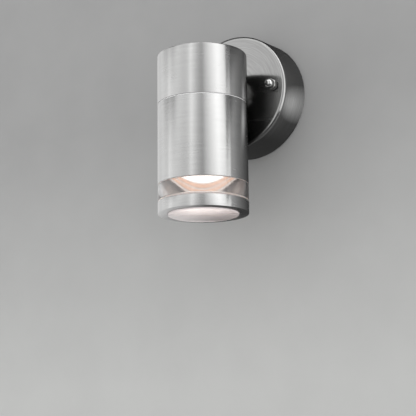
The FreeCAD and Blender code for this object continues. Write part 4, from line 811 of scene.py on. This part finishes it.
# Painted light: the board is paler below the fixture, with weak random blotches over it.
painted_light_and_blotches = plaster.math("ADD", plaster.spread(plaster_place.outputs["Z"], -0.20, 0.0, 0.0, 0.8),
                      plaster.math("MULTIPLY", plaster_marks["Cloud"], 0.25))
plaster.join(plaster.blend(painted_light_and_blotches, (0.62, 0.625, 0.615), (0.39, 0.39, 0.39)), plaster.shader.inputs["Base Color"])
# What polished metal sees of the board is painted: painted shade near and above the canopy, paler far out, and a
# small painted bright spot beside it.
painted_reflection = plaster.add("Emission")
across = plaster.spread(plaster_place.outputs["X"], -BOARD_WIDE * MM, BOARD_WIDE * MM)
painted_reflection_level = level_ramp(plaster, across, [
    (0.0, 0.8), (0.36, 0.78), (0.425, 0.45), (0.46, 0.05), (0.53, 0.05), (0.59, 0.16), (0.72, 0.4), (0.875, 0.46),
    (0.9, 1.1), (1.0, 1.2),
])
painted_shade_above = plaster.math("MULTIPLY", plaster.spread(plaster_place.outputs["Z"], 0.045, 0.06),
                     plaster.spread(plaster_place.outputs["X"], -0.115, -0.095))
painted_reflection_level = plaster.math("MULTIPLY", painted_reflection_level,
                          plaster.math("SUBTRACT", 1.0, plaster.math("MULTIPLY", painted_shade_above, 0.9)))
# A painted highlight: a bright spot beside the canopy, seen only in reflections.
painted_spot_distance = plaster.add("VectorMath", operation="DISTANCE")
plaster.join(plaster.place, painted_spot_distance.inputs[0])
painted_spot_distance.inputs[1].default_value = Vector(PAINTED_SPOT_BESIDE) * MM
painted_reflection_level = plaster.math("ADD", painted_reflection_level, plaster.spread(painted_spot_distance.outputs["Value"], 0.004, 0.020, 0.5, 0.0))
plaster.join(dimmed(plaster, painted_reflection_level), painted_reflection.inputs["Color"])
seen_through = plaster.add("MixShader")
glossy_choice(plaster, plaster.shader.outputs[0], painted_reflection.outputs[0], seen_through.inputs[1])
plaster.join(plaster.add("NewGeometry").outputs["Backfacing"], seen_through.inputs["Fac"])
plaster.join(plaster.add("BsdfTransparent").outputs[0], seen_through.inputs[2])
plaster.join(seen_through.outputs[0], plaster.tree.nodes["Material Output"].inputs["Surface"])
plaster.material.cycles.emission_sampling = "NONE"
board.data.materials.append(plaster.material)

deselect_all()
bpy.ops.mesh.primitive_grid_add(x_subdivisions=8, y_subdivisions=8, size=FLOOR_SIDE * MM,
                                location=(0, 0, FLOOR_DROP * MM))
floor = bpy.context.object
floor.name = "pale_floor"
bpy.ops.object.transform_apply(location=True, rotation=True, scale=True)
floor_paint = new_finish("pale_floor", Roughness=0.9, Specular_IOR_Level=0.1)
floor_marks = place_group(floor_paint, handling, floor_paint.place, Size_mm=300.0)
floor_paint.join(floor_paint.blend(floor_marks["Cloud"], (0.78, 0.78, 0.77), (0.84, 0.84, 0.83)),
                 floor_paint.shader.inputs["Base Color"])
# Reflections see the floor as a painted dark grey, not its pale paint.
painted_dark_floor = floor_paint.add("Emission")
painted_dark_floor.inputs["Color"].default_value = (0.1, 0.1, 0.1, 1.0)
glossy_choice(floor_paint, floor_paint.shader.outputs[0], painted_dark_floor.outputs[0],
              floor_paint.tree.nodes["Material Output"].inputs["Surface"])
floor_paint.material.cycles.emission_sampling = "NONE"
floor.data.materials.append(floor_paint.material)

# Soft light from all round; polished metal sees it as soft boxes and darker flags, by their azimuth:
# 0 in front of the light, 90 to its right.
world = bpy.data.worlds.new("studio_air")
bpy.context.scene.world = world
world.use_nodes = True
air = Bench(world.node_tree)
even = world.node_tree.nodes["Background"]
even.inputs["Color"].default_value = (1.0, 1.0, 1.0, 1.0)
even.inputs["Strength"].default_value = 0.95
way = air.add("SeparateXYZ")
air.join(air.add("TexCoord").outputs["Generated"], way.inputs[0])
azimuth = air.math("ARCTAN2", way.outputs["X"], air.math("MULTIPLY", way.outputs["Y"], -1.0))
BOXES = [(-180, 0.9), (-68, 0.9), (-60, 1.22), (-52, 1.05), (-36, 0.93), (-20, 0.78), (-13, 0.75), (-5, 0.82),
         (3, 1.15), (9, 0.92), (20, 0.62), (30, 0.46), (34, 0.48), (38, 0.66), (55, 1.1), (73, 1.55), (90, 1.25),
         (100, 0.95), (180, 0.9)]
level = level_ramp(air, air.spread(azimuth, -math.pi, math.pi),
                   [((bearing + 180) / 360, grey) for bearing, grey in BOXES])
steep = air.math("MULTIPLY", air.spread(way.outputs["Z"], 0.45, 0.9, 1.0, 1.4),
                 air.spread(way.outputs["Z"], -0.6, -0.25, 0.25, 1.0))
high_left = air.math("MULTIPLY", air.spread(way.outputs["Z"], 0.36, 0.5),
                     air.spread(azimuth, -0.9, -0.7, 0.92, 0.0))
steep = air.math("MULTIPLY", steep, air.math("SUBTRACT", 1.0, high_left))
boxes = air.add("Background")
air.join(dimmed(air, air.math("MULTIPLY", level, steep)), boxes.inputs["Color"])
glossy_choice(air, even.outputs[0], boxes.outputs[0], world.node_tree.nodes["World Output"].inputs["Surface"])
world.cycles.sampling_method = "NONE"

CAMERA_PLACE, LENS_MM = (406.66, -709.50, -243.88), 102.33
YAW, PITCH, ROLL = 0.560, 0.201, -0.011
deselect_all()
bpy.ops.object.camera_add()
camera = bpy.context.object
camera.name = "camera"
camera.matrix_world = (Matrix.Translation(Vector(CAMERA_PLACE) * MM) @ Matrix.Rotation(YAW, 4, "Z")
                       @ Matrix.Rotation(QUARTER + PITCH, 4, "X") @ Matrix.Rotation(ROLL, 4, "Z"))
camera.data.sensor_width = 36.0
camera.data.lens = LENS_MM
camera.data.clip_start = 0.01
camera.data.clip_end = 20.0
bpy.context.scene.camera = camera
bpy.context.scene.view_settings.view_transform = "Standard"
